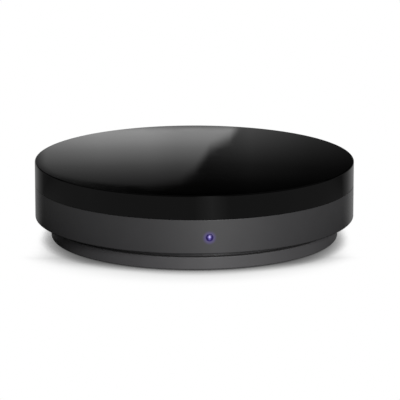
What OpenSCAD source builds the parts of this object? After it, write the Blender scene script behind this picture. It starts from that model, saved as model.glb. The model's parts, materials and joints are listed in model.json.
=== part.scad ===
// Round tabletop hub that sends infra-red remote control codes to the whole room.
// A glossy cover that passes infra-red, a matt middle case and a smaller base enclose
// the circuit board and its ring of emitters.
// Millimetres. +Z is up, the front faces -Y, and the origin is on the floor under the middle.

/* [Body] */
// Outside diameter of the cover and the middle case
body_d = 110; // [104:1:130]
// Height of the glossy cover, from the seam to the flat top
cover_h = 8.2; // [8:0.1:12]
// Height of the matt band, from its lower edge to the seam
band_h = 11.6; // [11.4:0.1:15]
// Height of the open groove between the base and the band
groove_h = 2.4; // [2:0.1:3.4]
// Rounding of the cover's top edge
top_edge_r = 0.5; // [0.2:0.1:1]
// Rounding of the band's lower edge
band_edge_r = 0.6; // [0.2:0.1:1.2]

/* [Base] */
// How far the side of the base sits in from the side of the body
base_inset = 5.5; // [4:0.5:8]
// Height of the side wall of the base
base_h = 4.4; // [4.2:0.1:5.4]
// Rounding of the lower edge of the base
base_edge_r = 0.8; // [0.3:0.1:1.2]
// Diameter of each rubber foot
foot_d = 11; // [9:0.5:14]
// How far the rubber feet stand below the base
foot_proud = 0.4; // [0.3:0.1:0.8]

/* [Walls] */
// Side wall of the glossy cover
cover_wall = 2; // [1.8:0.1:2.4]
// Thickness of the flat top of the cover
cover_top = 2; // [1.6:0.1:2.2]
// Side wall of the middle case
band_wall = 2.2; // [2:0.1:2.6]
// Floor and ledge of the middle case
floor_t = 1.8; // [1.5:0.1:2.1]
// Side wall of the base
base_wall = 1.8; // [1.4:0.1:2.2]
// Floor of the base
base_floor = 1.6; // [1.4:0.1:2]

/* [Emitters] */
// Number of infra-red emitters round the hub
emitter_count = 8; // [6, 8, 10]
// Diameter of an emitter's lens
emitter_d = 5; // [4.6:0.1:5.2]
// Length of an emitter, from its flange to the tip of its lens
emitter_len = 8.6; // [8:0.1:9]
// Wall of the sockets that hold the emitters
socket_wall = 0.85; // [0.7:0.05:1]

/* [Front lamp] */
// Diameter of the light pipe in the front of the band
pipe_d = 2.2; // [1.6:0.1:3]
// How far the light pipe sits to the right of the middle
pipe_offset = 5; // [0:0.5:8]

/* [Rear] */
// Width of the pocket that takes the body of the power plug
pocket_w = 12; // [10.5:0.5:14]
// Height of the pocket
pocket_h = 7.4; // [6.8:0.1:7.6]
// Depth of the pocket at its middle
pocket_depth = 5; // [4.6:0.1:5.4]
// Diameter of the reset button
button_d = 4; // [3:0.2:5]
// Travel of the reset button and of the switch under it
press_travel = 0.4; // [0.2:0.1:0.6]

/* [Board] */
// Thickness of the circuit board
board_t = 1.6; // [1.2:0.1:1.8]
// Length of the screws that hold the three mouldings together
case_screw_len = 16; // [14:1:18]

/* [Hidden] */
$fn = 96;
overrun = 1;
weld = 0.4;

// Heights and radii of the mouldings, from the floor up
body_r = body_d / 2;
base_r = body_r - base_inset;
base_z = foot_proud;
base_floor_z = base_z + base_floor;
rim_z = base_z + base_h;
band_z = rim_z + groove_h;
seam_z = band_z + band_h;
top_z = seam_z + cover_h;
cover_under_z = top_z - cover_top;
floor_z = band_z - floor_t;
ledge_z = band_z + floor_t;
band_inner_r = body_r - band_wall;
cover_inner_r = body_r - cover_wall;
rim_edge_r = 0.3;

// Neck of the middle case, which plugs into the base
neck_gap = 0.2;
neck_wall = 1.8;
neck_reach = 1.6;
neck_r = base_r - base_wall - neck_gap;
neck_inner_r = neck_r - neck_wall;
neck_z = rim_z - neck_reach;

// Lap joint at the seam between the cover and the band
tongue_t = 1;
tongue_h = 1.2;
lap_gap = 0.1;
tongue_r = band_inner_r + tongue_t;

// Ring that holds the emitters, and the legs that stand it on the ledge of the case
deck_gap = 1;
deck_outer_r = band_inner_r - deck_gap;
leg_r = 1.5;
leg_inset = 0.3;
leg_ring_r = deck_outer_r - leg_inset - leg_r;
spigot_r = 0.8;
spigot_h = 1.1;
spigot_gap = 0.1;

// Circuit board, which lies inside the legs
board_leg_gap = 0.5;
board_lift = 0.7;
board_r = leg_ring_r - leg_r - board_leg_gap;
board_z = ledge_z + board_lift;
board_top_z = board_z + board_t;

// Posts that the case screws pass through, shared by the cover, the case and the base
post_count = 4;
post_first_angle = 45;
post_inset = 11.6;
post_ring_r = neck_inner_r - post_inset;
post_r = 3.2;
post_rise = 2.8;
post_z = board_top_z + post_rise;
board_post_gap = 0.3;
gusset_reach = 2.4;
gusset_h = 4.5;
gusset_t = 1.2;

// Case screws, and the feet that hide them
screw_r = 1.25;
screw_gap = 0.25;
screw_tip = 1.5;
tip_gap = 1;
pilot_gap = 0.05;
head_r = 2.4;
head_h = 1.7;
head_gap = 0.2;
head_chamfer = 0.4;
recess_w = 0.6;
recess_len = 2.8;
recess_depth = 0.9;
tip_share = 0.3;
foot_r = foot_d / 2;
foot_t = 1.2;
foot_gap = 0.2;
foot_edge_r = 0.3;
seat_z = foot_t + head_gap + head_h;
boss_wall = 1.5;
base_boss_r = head_r + screw_gap + boss_wall;

// Ribs in the base
rib_count = 8;
rib_first_angle = 22.5;
rib_inner_r = 9;
rib_t = 1.2;
rib_gap = 0.5;

// Screws that hold the board to its standoffs
board_screw_angles = [0, 135, 225];
board_screw_ring_share = 0.865;
board_screw_ring_r = board_screw_ring_share * board_r;
board_screw_r = 0.95;
board_screw_gap = 0.2;
board_screw_len = 4;
board_screw_tip = 0.6;
board_head_r = 1.9;
board_head_h = 1.4;
board_head_chamfer = 0.3;
board_recess_len = 2.2;
standoff_r = 2.4;
standoff_bore_h = board_screw_len - board_t + board_screw_tip / 2;

// Infra-red emitters, laid on radii behind the glossy band
emitter_r = emitter_d / 2;
emitter_collar = 0.4;
emitter_flange_r = emitter_r + emitter_collar;
emitter_flange_t = 1;
emitter_first_angle = 180 / emitter_count;
emitter_tip_gap = 0.8;
emitter_base_r = cover_inner_r - emitter_tip_gap - emitter_len;

// Sockets of the emitter ring, and its deck under them
socket_gap = 0.05;
socket_r = emitter_r + socket_gap + socket_wall;
socket_len = 5;
socket_chamfer = 1.6;
socket_inner_r = emitter_base_r + emitter_flange_t;
ring_gap = 0.2;
emitter_z = cover_under_z - ring_gap - socket_r;
deck_z = emitter_z - socket_r;
deck_t = 1.2;
deck_inner_r = emitter_base_r - ring_gap;

// Square wire leads of the emitters and the receiver
lead_w = 0.5;
lead_gap = 0.1;
lead_hole_r = lead_w / sqrt(2) + lead_gap;
lead_reach = 2.4;
lead_bend_r = 0.8;
lead_pitch = 2.54;
tail_gap = 0.2;
lead_tail = board_lift - tail_gap;
lead_ring_r = emitter_base_r - lead_reach;
lead_drop = emitter_z - board_z + lead_tail;

// Receiver that learns the codes of other remote controls
receiver_angle = 258;
receiver_ring_share = 0.8;
receiver_ring_r = receiver_ring_share * board_r;
receiver_w = 5.6;
receiver_d = 3.4;
receiver_h = 6.8;
receiver_lens_r = 2.1;
receiver_lead_count = 3;
receiver_lead_edge = 0.26;
receiver_pitch = (receiver_w - 2 * receiver_lead_edge) / (receiver_lead_count - 1);
receiver_z = cover_under_z - ring_gap - receiver_h;

// Flat pads inside the band wall, behind the light pipe and the reset button
pad_t = 1;
pad_margin = 0.8;
pad_gap = 0.05;
pad_r = band_inner_r - pad_t;

// Status lamp and the light pipe in front of it
pipe_angle = 270 + asin(pipe_offset / body_r);
pipe_r = pipe_d / 2;
pipe_gap = 0.1;
pipe_proud = 0.15;
pipe_dome_r = 3;
pipe_collar = 0.9;
pipe_flange_r = pipe_r + pipe_collar;
pipe_flange_t = 1;
pipe_pad_r = pipe_flange_r + pad_margin;
pipe_tail_gap = 0.3;
lamp_w = 3.2;
lamp_d = 2.4;
lamp_h = 3;
lamp_lens_r = 0.9;
lamp_edge = 0.3;
lamp_z = board_top_z + lamp_h / 2;
lamp_front_r = board_r - lamp_edge;
pipe_tail_r = lamp_front_r + lamp_lens_r + pipe_tail_gap;

// Reset button
button_angle = 73;
button_r = button_d / 2;
button_gap = 0.15;
button_proud = 0.5;
button_edge_r = 0.3;
button_rim = 0.3;
button_dish = 0.25;
button_collar = 1;
button_flange_r = button_r + button_collar;
button_flange_t = 1;
button_stem_r = 1.2;
button_stem_len = 1;
button_pad_r = button_flange_r + pad_margin;
button_root_r = pad_r - pad_gap - button_flange_t - button_stem_len;

// Switch under the reset button
switch_w = 6;
switch_d = 3.6;
switch_h = 3;
switch_z = board_top_z + switch_h / 2;
switch_face_r = board_r;
plunger_w = 2.9;
plunger_h = 1.8;
plunger_gap = 0.1;
plunger_seat_gap = 0.05;
plunger_root = 1.4;
plunger_front_r = button_root_r - plunger_seat_gap;
plunger_len = plunger_front_r - switch_face_r + plunger_root;
plunger_well = plunger_root + press_travel + plunger_gap;
bracket_t = 0.2;
bracket_inset = 0.5;

// Power socket and the pocket round it
shell_w = 7.5;
shell_h = 2.6;
shell_d = 5.8;
shell_t = 0.3;
shell_slope = 0.8;
port_gap = 0.25;
port_wall = 1.2;
port_corner_r = 0.6;
port_z = board_top_z + shell_h / 2;
port_y = body_r - pocket_depth;
pocket_wall = 1;
pocket_corner_r = 1.4;
insulator_d = 1.4;
insulator_gap = 0.05;
blade_w = 3.5;
blade_t = 0.6;
blade_inset = 0.8;
contact_count = 5;
contact_pitch = 0.65;
contact_w = 0.3;
contact_t = 0.1;
contact_inset = 0.4;
contact_tail = 0.8;
solder_tab_w = 1;
solder_tab_len = 1.4;
solder_tab_t = 0.2;

// Radio module
radio_place_share = [-0.5, 0];
radio_len = 24;
radio_w = 16;
radio_t = 0.8;
radio_pad_r = 0.4;
radio_pad_pitch = 1.5;
radio_pad_count = 9;
antenna_turns = 3;
antenna_w = 0.6;
antenna_t = 0.1;
antenna_depth = 4;
antenna_edge = 1;
antenna_side = 2.6;
antenna_gap = 3.2;
antenna_pitch = (radio_w - 2 * antenna_side) / antenna_turns;
can_h = 2.3;
can_t = 0.3;
can_edge = 0.8;
can_side = 2;
can_corner_r = 1;
can_w = radio_w - 2 * can_side;
can_len = radio_len - can_edge - antenna_gap - antenna_depth - antenna_edge;

// Control chip
chip_place_share = [0.06, 0.14];
chip_len = 9.9;
chip_w = 3.9;
chip_h = 1.5;
chip_stand = 0.15;
chip_pins = 7;
chip_pitch = 1.27;
chip_pin_w = 0.4;
chip_pin_t = 0.2;
chip_pin_reach = 1;
package_taper_share = 0.04;
knee_share = 0.4;

// Voltage regulator
regulator_place_share = [0.2, 0.6];
regulator_len = 6.5;
regulator_w = 3.5;
regulator_h = 1.6;
regulator_pins = 3;
regulator_pitch = 2.3;
regulator_pin_w = 0.7;
regulator_pin_t = 0.25;
regulator_pin_reach = 1.4;
regulator_tab_w = 3;

// Driver transistors
driver_place_shares = [[0.38, -0.1], [0.38, -0.26], [0.2, -0.42], [-0.12, -0.42]];
driver_len = 2.9;
driver_w = 1.4;
driver_h = 1.1;
driver_stand = 0.05;
driver_pitch = 1.9;
driver_pin_w = 0.4;
driver_pin_t = 0.12;
driver_pin_reach = 0.55;

// Storage capacitors
capacitor_place_shares = [[-0.1, 0.62], [-0.1, 0.45]];
capacitor_r = 3.15;
capacitor_h = 7.6;
capacitor_edge_r = 0.5;
capacitor_groove_r = 0.4;
capacitor_groove_z = 1.4;
capacitor_base_edge = 0.15;
capacitor_base_w = 2 * (capacitor_r + capacitor_base_edge);
capacitor_base_h = 0.9;
capacitor_base_chamfer = 1.2;

// Inductor and crystal
inductor_place_share = [0.06, 0.42];
inductor_w = 4.8;
inductor_h = 3;
inductor_corner_r = 1;
crystal_place_share = [-0.06, -0.12];
crystal_len = 10.8;
crystal_w = 4.4;
crystal_h = 3.4;
crystal_flange = 0.4;
crystal_flange_t = 0.4;

// Small chip parts: a resistor for each emitter, and capacitors near the chips
resistor_ring_share = 0.76;
resistor_ring_r = resistor_ring_share * board_r;
bypass_place_shares = [[0.26, 0.3], [-0.12, 0.1], [0.22, 0.02], [0.36, 0.5]];
small_part_len = 2;
small_part_w = 1.25;
small_part_h = 0.6;

// Places its children round the axis, each turned to face outwards
module around(count, first_angle, ring_r) {
    for (i = [0 : count - 1])
        rotate([0, 0, first_angle + i * 360 / count]) translate([ring_r, 0, 0]) children();
}

// Stands its children on a radius: their X runs along the wall, their Y up and their Z outwards
module facing(angle, ring_r, z) {
    rotate([0, 0, angle]) translate([ring_r, 0, z]) rotate([90, 0, 90]) children();
}

// Does the same for every emitter
module at_emitters(ring_r) {
    around(emitter_count, emitter_first_angle, ring_r)
        translate([0, 0, emitter_z]) rotate([90, 0, 90]) children();
}

// Places its children at the posts, on the axis of each case screw
module at_posts(z) {
    around(post_count, post_first_angle, post_ring_r) translate([0, 0, z]) children();
}

// Places its children on the board screws
module at_board_screws(z) {
    for (angle = board_screw_angles)
        rotate([0, 0, angle]) translate([board_screw_ring_r, 0, z]) children();
}

// Places its children on the board, at a share of its radius from the middle
module on_board(place_share) {
    translate([place_share.x * board_r, place_share.y * board_r, board_top_z]) children();
}

// What is cut from an upper right corner at the origin to leave it rounded
module corner_cut(corner_r) {
    difference() {
        translate([-corner_r, -corner_r]) square(corner_r + overrun);
        translate([-corner_r, -corner_r]) circle(corner_r);
    }
}

// Rectangle with rounded corners, about the origin
module rounded(w, h, corner_r) {
    square([w - 2 * corner_r, h], center = true);
    square([w, h - 2 * corner_r], center = true);
    for (x = [-1, 1], y = [-1, 1])
        translate([x * (w / 2 - corner_r), y * (h / 2 - corner_r)]) circle(corner_r);
}

// Oblong with round ends, about the origin
module oblong(length, w) {
    square([length - w, w], center = true);
    for (x = [-1, 1]) translate([x * (length - w) / 2, 0]) circle(w / 2);
}

// Flat ring
module ring(outer_r, inner_r, h) {
    rotate_extrude() translate([inner_r, 0]) square([outer_r - inner_r, h]);
}

// Half outline of a round pin with a domed end
module domed_outline(pin_r, length) {
    square([pin_r, length - pin_r]);
    translate([0, length - pin_r]) intersection() {
        circle(pin_r);
        square(pin_r);
    }
}

// Screw with its head at the bottom, its seat at z = 0 and its shank pointing up
module screw(cap_r, cap_h, chamfer, shank_r, length, tip, slot_len) {
    difference() {
        rotate_extrude() polygon([[0, -cap_h], [cap_r - chamfer, -cap_h], [cap_r, chamfer - cap_h],
            [cap_r, 0], [shank_r, 0], [shank_r, length - tip], [shank_r * tip_share, length],
            [0, length]]);
        for (turn = [0, 90]) rotate([0, 0, turn])
            translate([-slot_len / 2, -recess_w / 2, -cap_h - overrun])
                cube([slot_len, recess_w, overrun + recess_depth]);
    }
}

// Moulded chip package, lying along X, drawn in a little at its top and its bottom
module package(length, w, h) {
    taper = package_taper_share * w;
    rotate([90, 0, 90]) translate([0, 0, -length / 2]) linear_extrude(length)
        polygon([[taper - w / 2, 0], [w / 2 - taper, 0], [w / 2, h / 2], [w / 2 - taper, h],
            [taper - w / 2, h], [-w / 2, h / 2]]);
}

// Row of bent pins along X, which leave a package at y = 0 and stand on the board
module pin_row(count, pitch, w, t, reach, rise) {
    knee = knee_share * reach;
    for (i = [0 : count - 1]) translate([(i - (count - 1) / 2) * pitch - w / 2, 0, 0])
        rotate([90, 0, 90]) linear_extrude(w)
            polygon([[0, rise], [knee, rise], [knee, t], [reach, t], [reach, 0],
                [knee - t, 0], [knee - t, rise - t], [0, rise - t]]);
}

// Square lead that leaves an emitter at the origin, runs inwards and bends down
module bent_lead() {
    half_w = lead_w / 2;
    rotate([90, 0, 0]) translate([0, 0, -half_w]) linear_extrude(lead_w) difference() {
        translate([-lead_reach - half_w, -lead_drop])
            square([lead_reach + half_w, lead_drop + half_w]);
        difference() {
            translate([half_w - lead_reach, -lead_drop - overrun])
                square([lead_reach + overrun, lead_drop + overrun - half_w]);
            translate([half_w - lead_reach, -half_w]) mirror([1, 0]) corner_cut(lead_bend_r - half_w);
        }
        translate([-lead_reach - half_w, half_w]) mirror([1, 0]) corner_cut(lead_bend_r + half_w);
    }
}

// Half outline of the cover's shell
module cover_outline() {
    difference() {
        translate([0, seam_z]) square([body_r, cover_h]);
        translate([-overrun, seam_z - overrun])
            square([cover_inner_r + overrun, cover_h - cover_top + overrun]);
        translate([0, seam_z - overrun])
            square([tongue_r + lap_gap, tongue_h + lap_gap + overrun]);
        translate([body_r, top_z]) corner_cut(top_edge_r);
    }
}

// Rib that braces a post against the top of the cover
module gusset() {
    translate([0, gusset_t / 2, cover_under_z]) rotate([90, 0, 0]) linear_extrude(gusset_t)
        polygon([[0, weld], [post_r + gusset_reach, weld], [post_r + gusset_reach, 0],
            [post_r, -gusset_h], [0, -gusset_h]]);
}

module top_cover() {
    color("black") difference() {
        union() {
            rotate_extrude() cover_outline();
            at_posts(post_z) cylinder(r = post_r, h = cover_under_z + weld - post_z);
            at_posts(0) for (turn = [0, 120, 240]) rotate([0, 0, turn]) gusset();
        }
        at_posts(post_z - overrun)
            cylinder(r = screw_r + pilot_gap, h = seat_z + case_screw_len + tip_gap - post_z + overrun);
    }
}

// Half outline of the middle case: the band, its tongue, the ledge, the neck and the floor
module middle_outline() {
    difference() {
        union() {
            translate([band_inner_r, band_z]) square([band_wall, band_h]);
            translate([band_inner_r, band_z]) square([tongue_t, band_h + tongue_h]);
            translate([neck_inner_r, band_z]) square([body_r - neck_inner_r, floor_t]);
            translate([neck_inner_r, neck_z]) square([neck_wall, ledge_z - neck_z]);
            translate([0, floor_z]) square([neck_r, floor_t]);
        }
        translate([body_r, band_z]) mirror([0, 1]) corner_cut(band_edge_r);
    }
}

// Block for the plug pocket, which runs from behind the socket into the band wall. The gap
// grows it where it is cut from the pieces beside it
module pocket_block(gap) {
    wall = pocket_wall + gap;
    start_r = port_y - port_wall - gap;
    facing(90, start_r, port_z) linear_extrude(band_inner_r + weld - start_r)
        rounded(pocket_w + 2 * wall, pocket_h + 2 * wall, pocket_corner_r + wall);
}

module pocket_cut() {
    facing(90, port_y, port_z) linear_extrude(pocket_depth + overrun)
        rounded(pocket_w, pocket_h, pocket_corner_r);
    facing(90, port_y - port_wall - overrun, port_z) linear_extrude(port_wall + 2 * overrun)
        rounded(shell_w + 2 * port_gap, shell_h + 2 * port_gap, port_corner_r);
}

module middle_case() {
    color("dimgray") difference() {
        union() {
            rotate_extrude() middle_outline();
            at_posts(band_z - weld) cylinder(r = post_r, h = post_z - band_z + weld);
            at_board_screws(band_z - weld) cylinder(r = standoff_r, h = board_z - band_z + weld);
            facing(pipe_angle, pad_r, lamp_z) cylinder(r = pipe_pad_r, h = pad_t + weld);
            facing(button_angle, pad_r, switch_z) cylinder(r = button_pad_r, h = pad_t + weld);
            pocket_block(0);
        }
        at_posts(floor_z - overrun)
            cylinder(r = screw_r + screw_gap, h = post_z - floor_z + 2 * overrun);
        at_board_screws(board_z - standoff_bore_h)
            cylinder(r = board_screw_r, h = standoff_bore_h + overrun);
        around(post_count, post_first_angle, leg_ring_r) translate([0, 0, ledge_z - spigot_h - spigot_gap])
            cylinder(r = spigot_r + spigot_gap, h = spigot_h + spigot_gap + overrun);
        facing(pipe_angle, pad_r - overrun, lamp_z)
            cylinder(r = pipe_r + pipe_gap, h = pad_t + band_wall + 2 * overrun);
        facing(button_angle, pad_r - overrun, switch_z)
            cylinder(r = button_r + button_gap, h = pad_t + band_wall + 2 * overrun);
        pocket_cut();
    }
}

// Half outline of the base
module base_outline() {
    difference() {
        translate([0, base_z]) square([base_r, base_h]);
        translate([-overrun, base_floor_z]) square([base_r - base_wall + overrun, base_h]);
        translate([base_r, base_z]) mirror([0, 1]) corner_cut(base_edge_r);
        translate([base_r, rim_z]) corner_cut(rim_edge_r);
    }
}

module base_plate() {
    rib_z = base_floor_z - weld;
    rib_start_r = rib_inner_r + rib_t / 2;
    color("dimgray") difference() {
        union() {
            rotate_extrude() base_outline();
            at_posts(rib_z) cylinder(r = base_boss_r, h = floor_z - rib_z);
            translate([0, 0, rib_z]) ring(rib_inner_r + rib_t, rib_inner_r, floor_z - rib_gap - rib_z);
            around(rib_count, rib_first_angle, rib_start_r) translate([0, -rib_t / 2, rib_z]) {
                cube([neck_inner_r - rib_gap - rib_start_r, rib_t, floor_z - rib_gap - rib_z]);
                cube([base_r - base_wall + weld - rib_start_r, rib_t, neck_z - rib_gap - rib_z]);
            }
        }
        at_posts(base_z - overrun) cylinder(r = foot_r + foot_gap, h = foot_t - base_z + overrun);
        at_posts(base_z - overrun) cylinder(r = head_r + screw_gap, h = seat_z - base_z + overrun);
        at_posts(base_z) cylinder(r = screw_r + screw_gap, h = floor_z - base_z + overrun);
    }
}

module rubber_feet() {
    color("black") at_posts(0) rotate_extrude() difference() {
        square([foot_r, foot_t]);
        translate([foot_r, 0]) mirror([0, 1]) corner_cut(foot_edge_r);
    }
}

module case_screws() {
    color("silver") at_posts(seat_z)
        screw(head_r, head_h, head_chamfer, screw_r, case_screw_len, screw_tip, recess_len);
}

module main_board() {
    color("darkgreen") difference() {
        translate([0, 0, board_z]) cylinder(r = board_r, h = board_t);
        at_posts(board_z - overrun) cylinder(r = post_r + board_post_gap, h = board_t + 2 * overrun);
        at_board_screws(board_z - overrun)
            cylinder(r = board_screw_r + board_screw_gap, h = board_t + 2 * overrun);
        around(emitter_count, emitter_first_angle, lead_ring_r) for (side = [-1, 1])
            translate([0, side * lead_pitch / 2, board_z - overrun])
                cylinder(r = lead_hole_r, h = board_t + 2 * overrun);
        rotate([0, 0, receiver_angle]) for (i = [0 : receiver_lead_count - 1])
            translate([receiver_ring_r, receiver_lead_y(i), board_z - overrun])
                cylinder(r = lead_hole_r, h = board_t + 2 * overrun);
        pocket_block(ring_gap);
    }
}

module board_screws() {
    color("silver") at_board_screws(board_top_z) rotate([180, 0, 0])
        screw(board_head_r, board_head_h, board_head_chamfer, board_screw_r, board_screw_len,
            board_screw_tip, board_recess_len);
}

// House-shaped section of a socket, about the emitter's axis
module socket_outline() {
    polygon([[-socket_r, weld - socket_r], [socket_r, weld - socket_r],
        [socket_r, socket_r - socket_chamfer], [socket_r - socket_chamfer, socket_r],
        [socket_chamfer - socket_r, socket_r], [-socket_r, socket_r - socket_chamfer]]);
}

module emitter_ring() {
    color("gray") difference() {
        union() {
            translate([0, 0, deck_z]) ring(deck_outer_r, deck_inner_r, deck_t);
            at_emitters(socket_inner_r) linear_extrude(socket_len) socket_outline();
            around(post_count, post_first_angle, leg_ring_r) {
                translate([0, 0, ledge_z]) cylinder(r = leg_r, h = deck_z + weld - ledge_z);
                translate([0, 0, ledge_z - spigot_h]) cylinder(r = spigot_r, h = spigot_h + weld);
            }
        }
        at_emitters(deck_inner_r - overrun)
            cylinder(r = emitter_r + socket_gap, h = deck_outer_r - deck_inner_r + 2 * overrun);
        at_emitters(deck_inner_r - overrun)
            cylinder(r = emitter_flange_r + socket_gap, h = socket_inner_r - deck_inner_r + overrun);
        pocket_block(ring_gap);
    }
}

// Round lens body with a flange that is cut flat on one side
module ir_emitters() {
    color("plum") at_emitters(emitter_base_r) {
        rotate_extrude() domed_outline(emitter_r, emitter_len);
        difference() {
            cylinder(r = emitter_flange_r, h = emitter_flange_t);
            translate([emitter_r, -emitter_flange_r, -overrun])
                cube([emitter_collar + overrun, 2 * emitter_flange_r, emitter_flange_t + 2 * overrun]);
        }
    }
}

module emitter_leads() {
    color("silver") around(emitter_count, emitter_first_angle, emitter_base_r)
        for (side = [-1, 1]) translate([0, side * lead_pitch / 2, emitter_z]) bent_lead();
}

module ir_receiver() {
    color("black") rotate([0, 0, receiver_angle])
        translate([receiver_ring_r, 0, receiver_z + receiver_h / 2]) {
            cube([receiver_d, receiver_w, receiver_h], center = true);
            translate([receiver_d / 2, 0, 0]) sphere(receiver_lens_r);
        }
}

// Distance of a receiver lead from the middle one
function receiver_lead_y(i) = (i - (receiver_lead_count - 1) / 2) * receiver_pitch;

module receiver_leads() {
    color("silver") rotate([0, 0, receiver_angle]) for (i = [0 : receiver_lead_count - 1])
        translate([receiver_ring_r - lead_w / 2, receiver_lead_y(i) - lead_w / 2, board_z - lead_tail])
            cube([lead_w, lead_w, receiver_z - board_z + lead_tail]);
}

module light_pipe() {
    nose = body_r + pipe_proud - pipe_tail_r;
    collar = pad_r - pad_gap - pipe_tail_r;
    color("lavender") facing(pipe_angle, pipe_tail_r, lamp_z) rotate_extrude() {
        translate([0, collar - pipe_flange_t]) square([pipe_flange_r, pipe_flange_t]);
        intersection() {
            square([pipe_r, nose]);
            translate([0, nose - pipe_dome_r]) union() {
                circle(pipe_dome_r);
                translate([0, -nose]) square([pipe_r, nose]);
            }
        }
    }
}

module status_lamp() {
    color("white") rotate([0, 0, pipe_angle]) {
        translate([lamp_front_r - lamp_d, -lamp_w / 2, board_top_z]) cube([lamp_d, lamp_w, lamp_h]);
        translate([lamp_front_r, 0, lamp_z]) sphere(lamp_lens_r);
    }
}

// Round button with a flange and a hollow face for a fingertip
module reset_button() {
    nose = body_r + button_proud - button_root_r;
    hollow_r = button_r - button_edge_r - button_rim;
    dish_r = (hollow_r * hollow_r + button_dish * button_dish) / (2 * button_dish);
    color("black") facing(button_angle, button_root_r, switch_z) rotate_extrude() {
        square([button_stem_r, button_stem_len]);
        translate([0, button_stem_len]) square([button_flange_r, button_flange_t]);
        difference() {
            translate([0, button_stem_len]) square([button_r, nose - button_stem_len]);
            translate([button_r, nose]) corner_cut(button_edge_r);
            translate([0, nose - button_dish + dish_r]) circle(dish_r);
        }
    }
}

module switch_plunger() {
    color("ivory") rotate([0, 0, button_angle])
        translate([plunger_front_r - plunger_len, -plunger_w / 2, switch_z - plunger_h / 2])
            cube([plunger_len, plunger_w, plunger_h]);
}

module switch_body() {
    color("black") rotate([0, 0, button_angle]) difference() {
        translate([switch_face_r - switch_d, -switch_w / 2, board_top_z])
            cube([switch_d, switch_w, switch_h]);
        translate([switch_face_r - plunger_well, -plunger_w / 2, switch_z - plunger_h / 2])
            translate([0, -plunger_gap, -plunger_gap])
                cube([plunger_well + overrun, plunger_w + 2 * plunger_gap, plunger_h + 2 * plunger_gap]);
    }
}

// Sheet bracket that clips over the switch
module switch_bracket() {
    color("silver") rotate([0, 0, button_angle])
        translate([switch_face_r - switch_d + bracket_inset, 0, board_top_z]) rotate([90, 0, 90])
            linear_extrude(switch_d - 2 * bracket_inset) difference() {
                translate([-switch_w / 2 - bracket_t, 0])
                    square([switch_w + 2 * bracket_t, switch_h + bracket_t]);
                translate([-switch_w / 2, -overrun]) square([switch_w, switch_h + overrun]);
            }
}

// Section of the power socket's shell, drawn in by an inset, with its lower corners cut off
module shell_outline(inset) {
    half_w = shell_w / 2 - inset;
    slope = shell_slope - inset * (2 - sqrt(2));
    polygon([[slope - half_w, inset - shell_h / 2], [half_w - slope, inset - shell_h / 2],
        [half_w, inset + slope - shell_h / 2], [half_w, shell_h / 2 - inset],
        [-half_w, shell_h / 2 - inset], [-half_w, inset + slope - shell_h / 2]]);
}

module power_socket_shell() {
    tab_x = shell_w / 2 - shell_slope - weld;
    tab_y = port_y - (shell_d + solder_tab_len) / 2;
    color("silver") {
        facing(90, port_y - shell_d, port_z) linear_extrude(shell_d) difference() {
            shell_outline(0);
            shell_outline(shell_t);
        }
        for (side = [0, 1]) mirror([side, 0, 0]) translate([tab_x, tab_y, board_top_z])
            cube([shell_slope + weld + solder_tab_w, solder_tab_len, solder_tab_t]);
    }
}

// Contact strips under the blade, with their tails bent down behind the shell
module power_socket_contacts() {
    strip_z = port_z - blade_t / 2 - contact_t;
    back_y = port_y - shell_d - contact_tail;
    color("gold") for (i = [0 : contact_count - 1])
        translate([(i - (contact_count - 1) / 2) * contact_pitch - contact_w / 2, 0, 0])
            rotate([90, 0, 90]) linear_extrude(contact_w)
                polygon([[port_y - blade_inset - contact_inset, strip_z + contact_t],
                    [port_y - blade_inset - contact_inset, strip_z],
                    [back_y + contact_tail / 2 + contact_t, strip_z],
                    [back_y + contact_tail / 2 + contact_t, board_top_z],
                    [back_y, board_top_z], [back_y, board_top_z + contact_t],
                    [back_y + contact_tail / 2, board_top_z + contact_t],
                    [back_y + contact_tail / 2, strip_z + contact_t]]);
}

module power_socket_blade() {
    color("black") difference() {
        union() {
            facing(90, port_y - shell_d, port_z) linear_extrude(insulator_d)
                shell_outline(shell_t + insulator_gap);
            facing(90, port_y - shell_d, port_z) translate([-blade_w / 2, -blade_t / 2, 0])
                cube([blade_w, blade_t, shell_d - blade_inset]);
        }
        power_socket_contacts();
    }
}

module radio_board() {
    color("darkslategray") on_board(radio_place_share) linear_extrude(radio_t) difference() {
        square([radio_len, radio_w], center = true);
        for (i = [0 : radio_pad_count - 1], side = [-1, 1])
            translate([radio_len / 2 - (i + 1) * radio_pad_pitch, side * radio_w / 2]) circle(radio_pad_r);
    }
}

module radio_can() {
    color("silver") on_board(radio_place_share)
        translate([radio_len / 2 - can_edge - can_len / 2, 0, radio_t]) difference() {
            linear_extrude(can_h) rounded(can_len, can_w, can_corner_r);
            translate([0, 0, -overrun]) linear_extrude(can_h - can_t + overrun)
                rounded(can_len - 2 * can_t, can_w - 2 * can_t, can_corner_r - can_t);
        }
}

// Meandering trace on the free end of the radio board
module radio_antenna() {
    half_len = antenna_turns * antenna_pitch / 2;
    color("gold") on_board(radio_place_share)
        translate([antenna_edge - radio_len / 2, 0, radio_t]) linear_extrude(antenna_t) {
            for (i = [0 : 2 * antenna_turns])
                translate([0, i * antenna_pitch / 2 - half_len - antenna_w / 2])
                    square([antenna_depth, antenna_w]);
            for (i = [0 : 2 * antenna_turns - 1])
                translate([i % 2 == 0 ? 0 : antenna_depth - antenna_w, i * antenna_pitch / 2 - half_len])
                    square([antenna_w, antenna_pitch / 2]);
        }
}

module control_chip() {
    color("black") on_board(chip_place_share) translate([0, 0, chip_stand])
        package(chip_len, chip_w, chip_h);
}

module control_chip_pins() {
    color("silver") on_board(chip_place_share) for (turn = [0, 180]) rotate([0, 0, turn])
        translate([0, chip_w / 2, 0]) pin_row(chip_pins, chip_pitch, chip_pin_w, chip_pin_t,
            chip_pin_reach, chip_stand + (chip_h + chip_pin_t) / 2);
}

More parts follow.
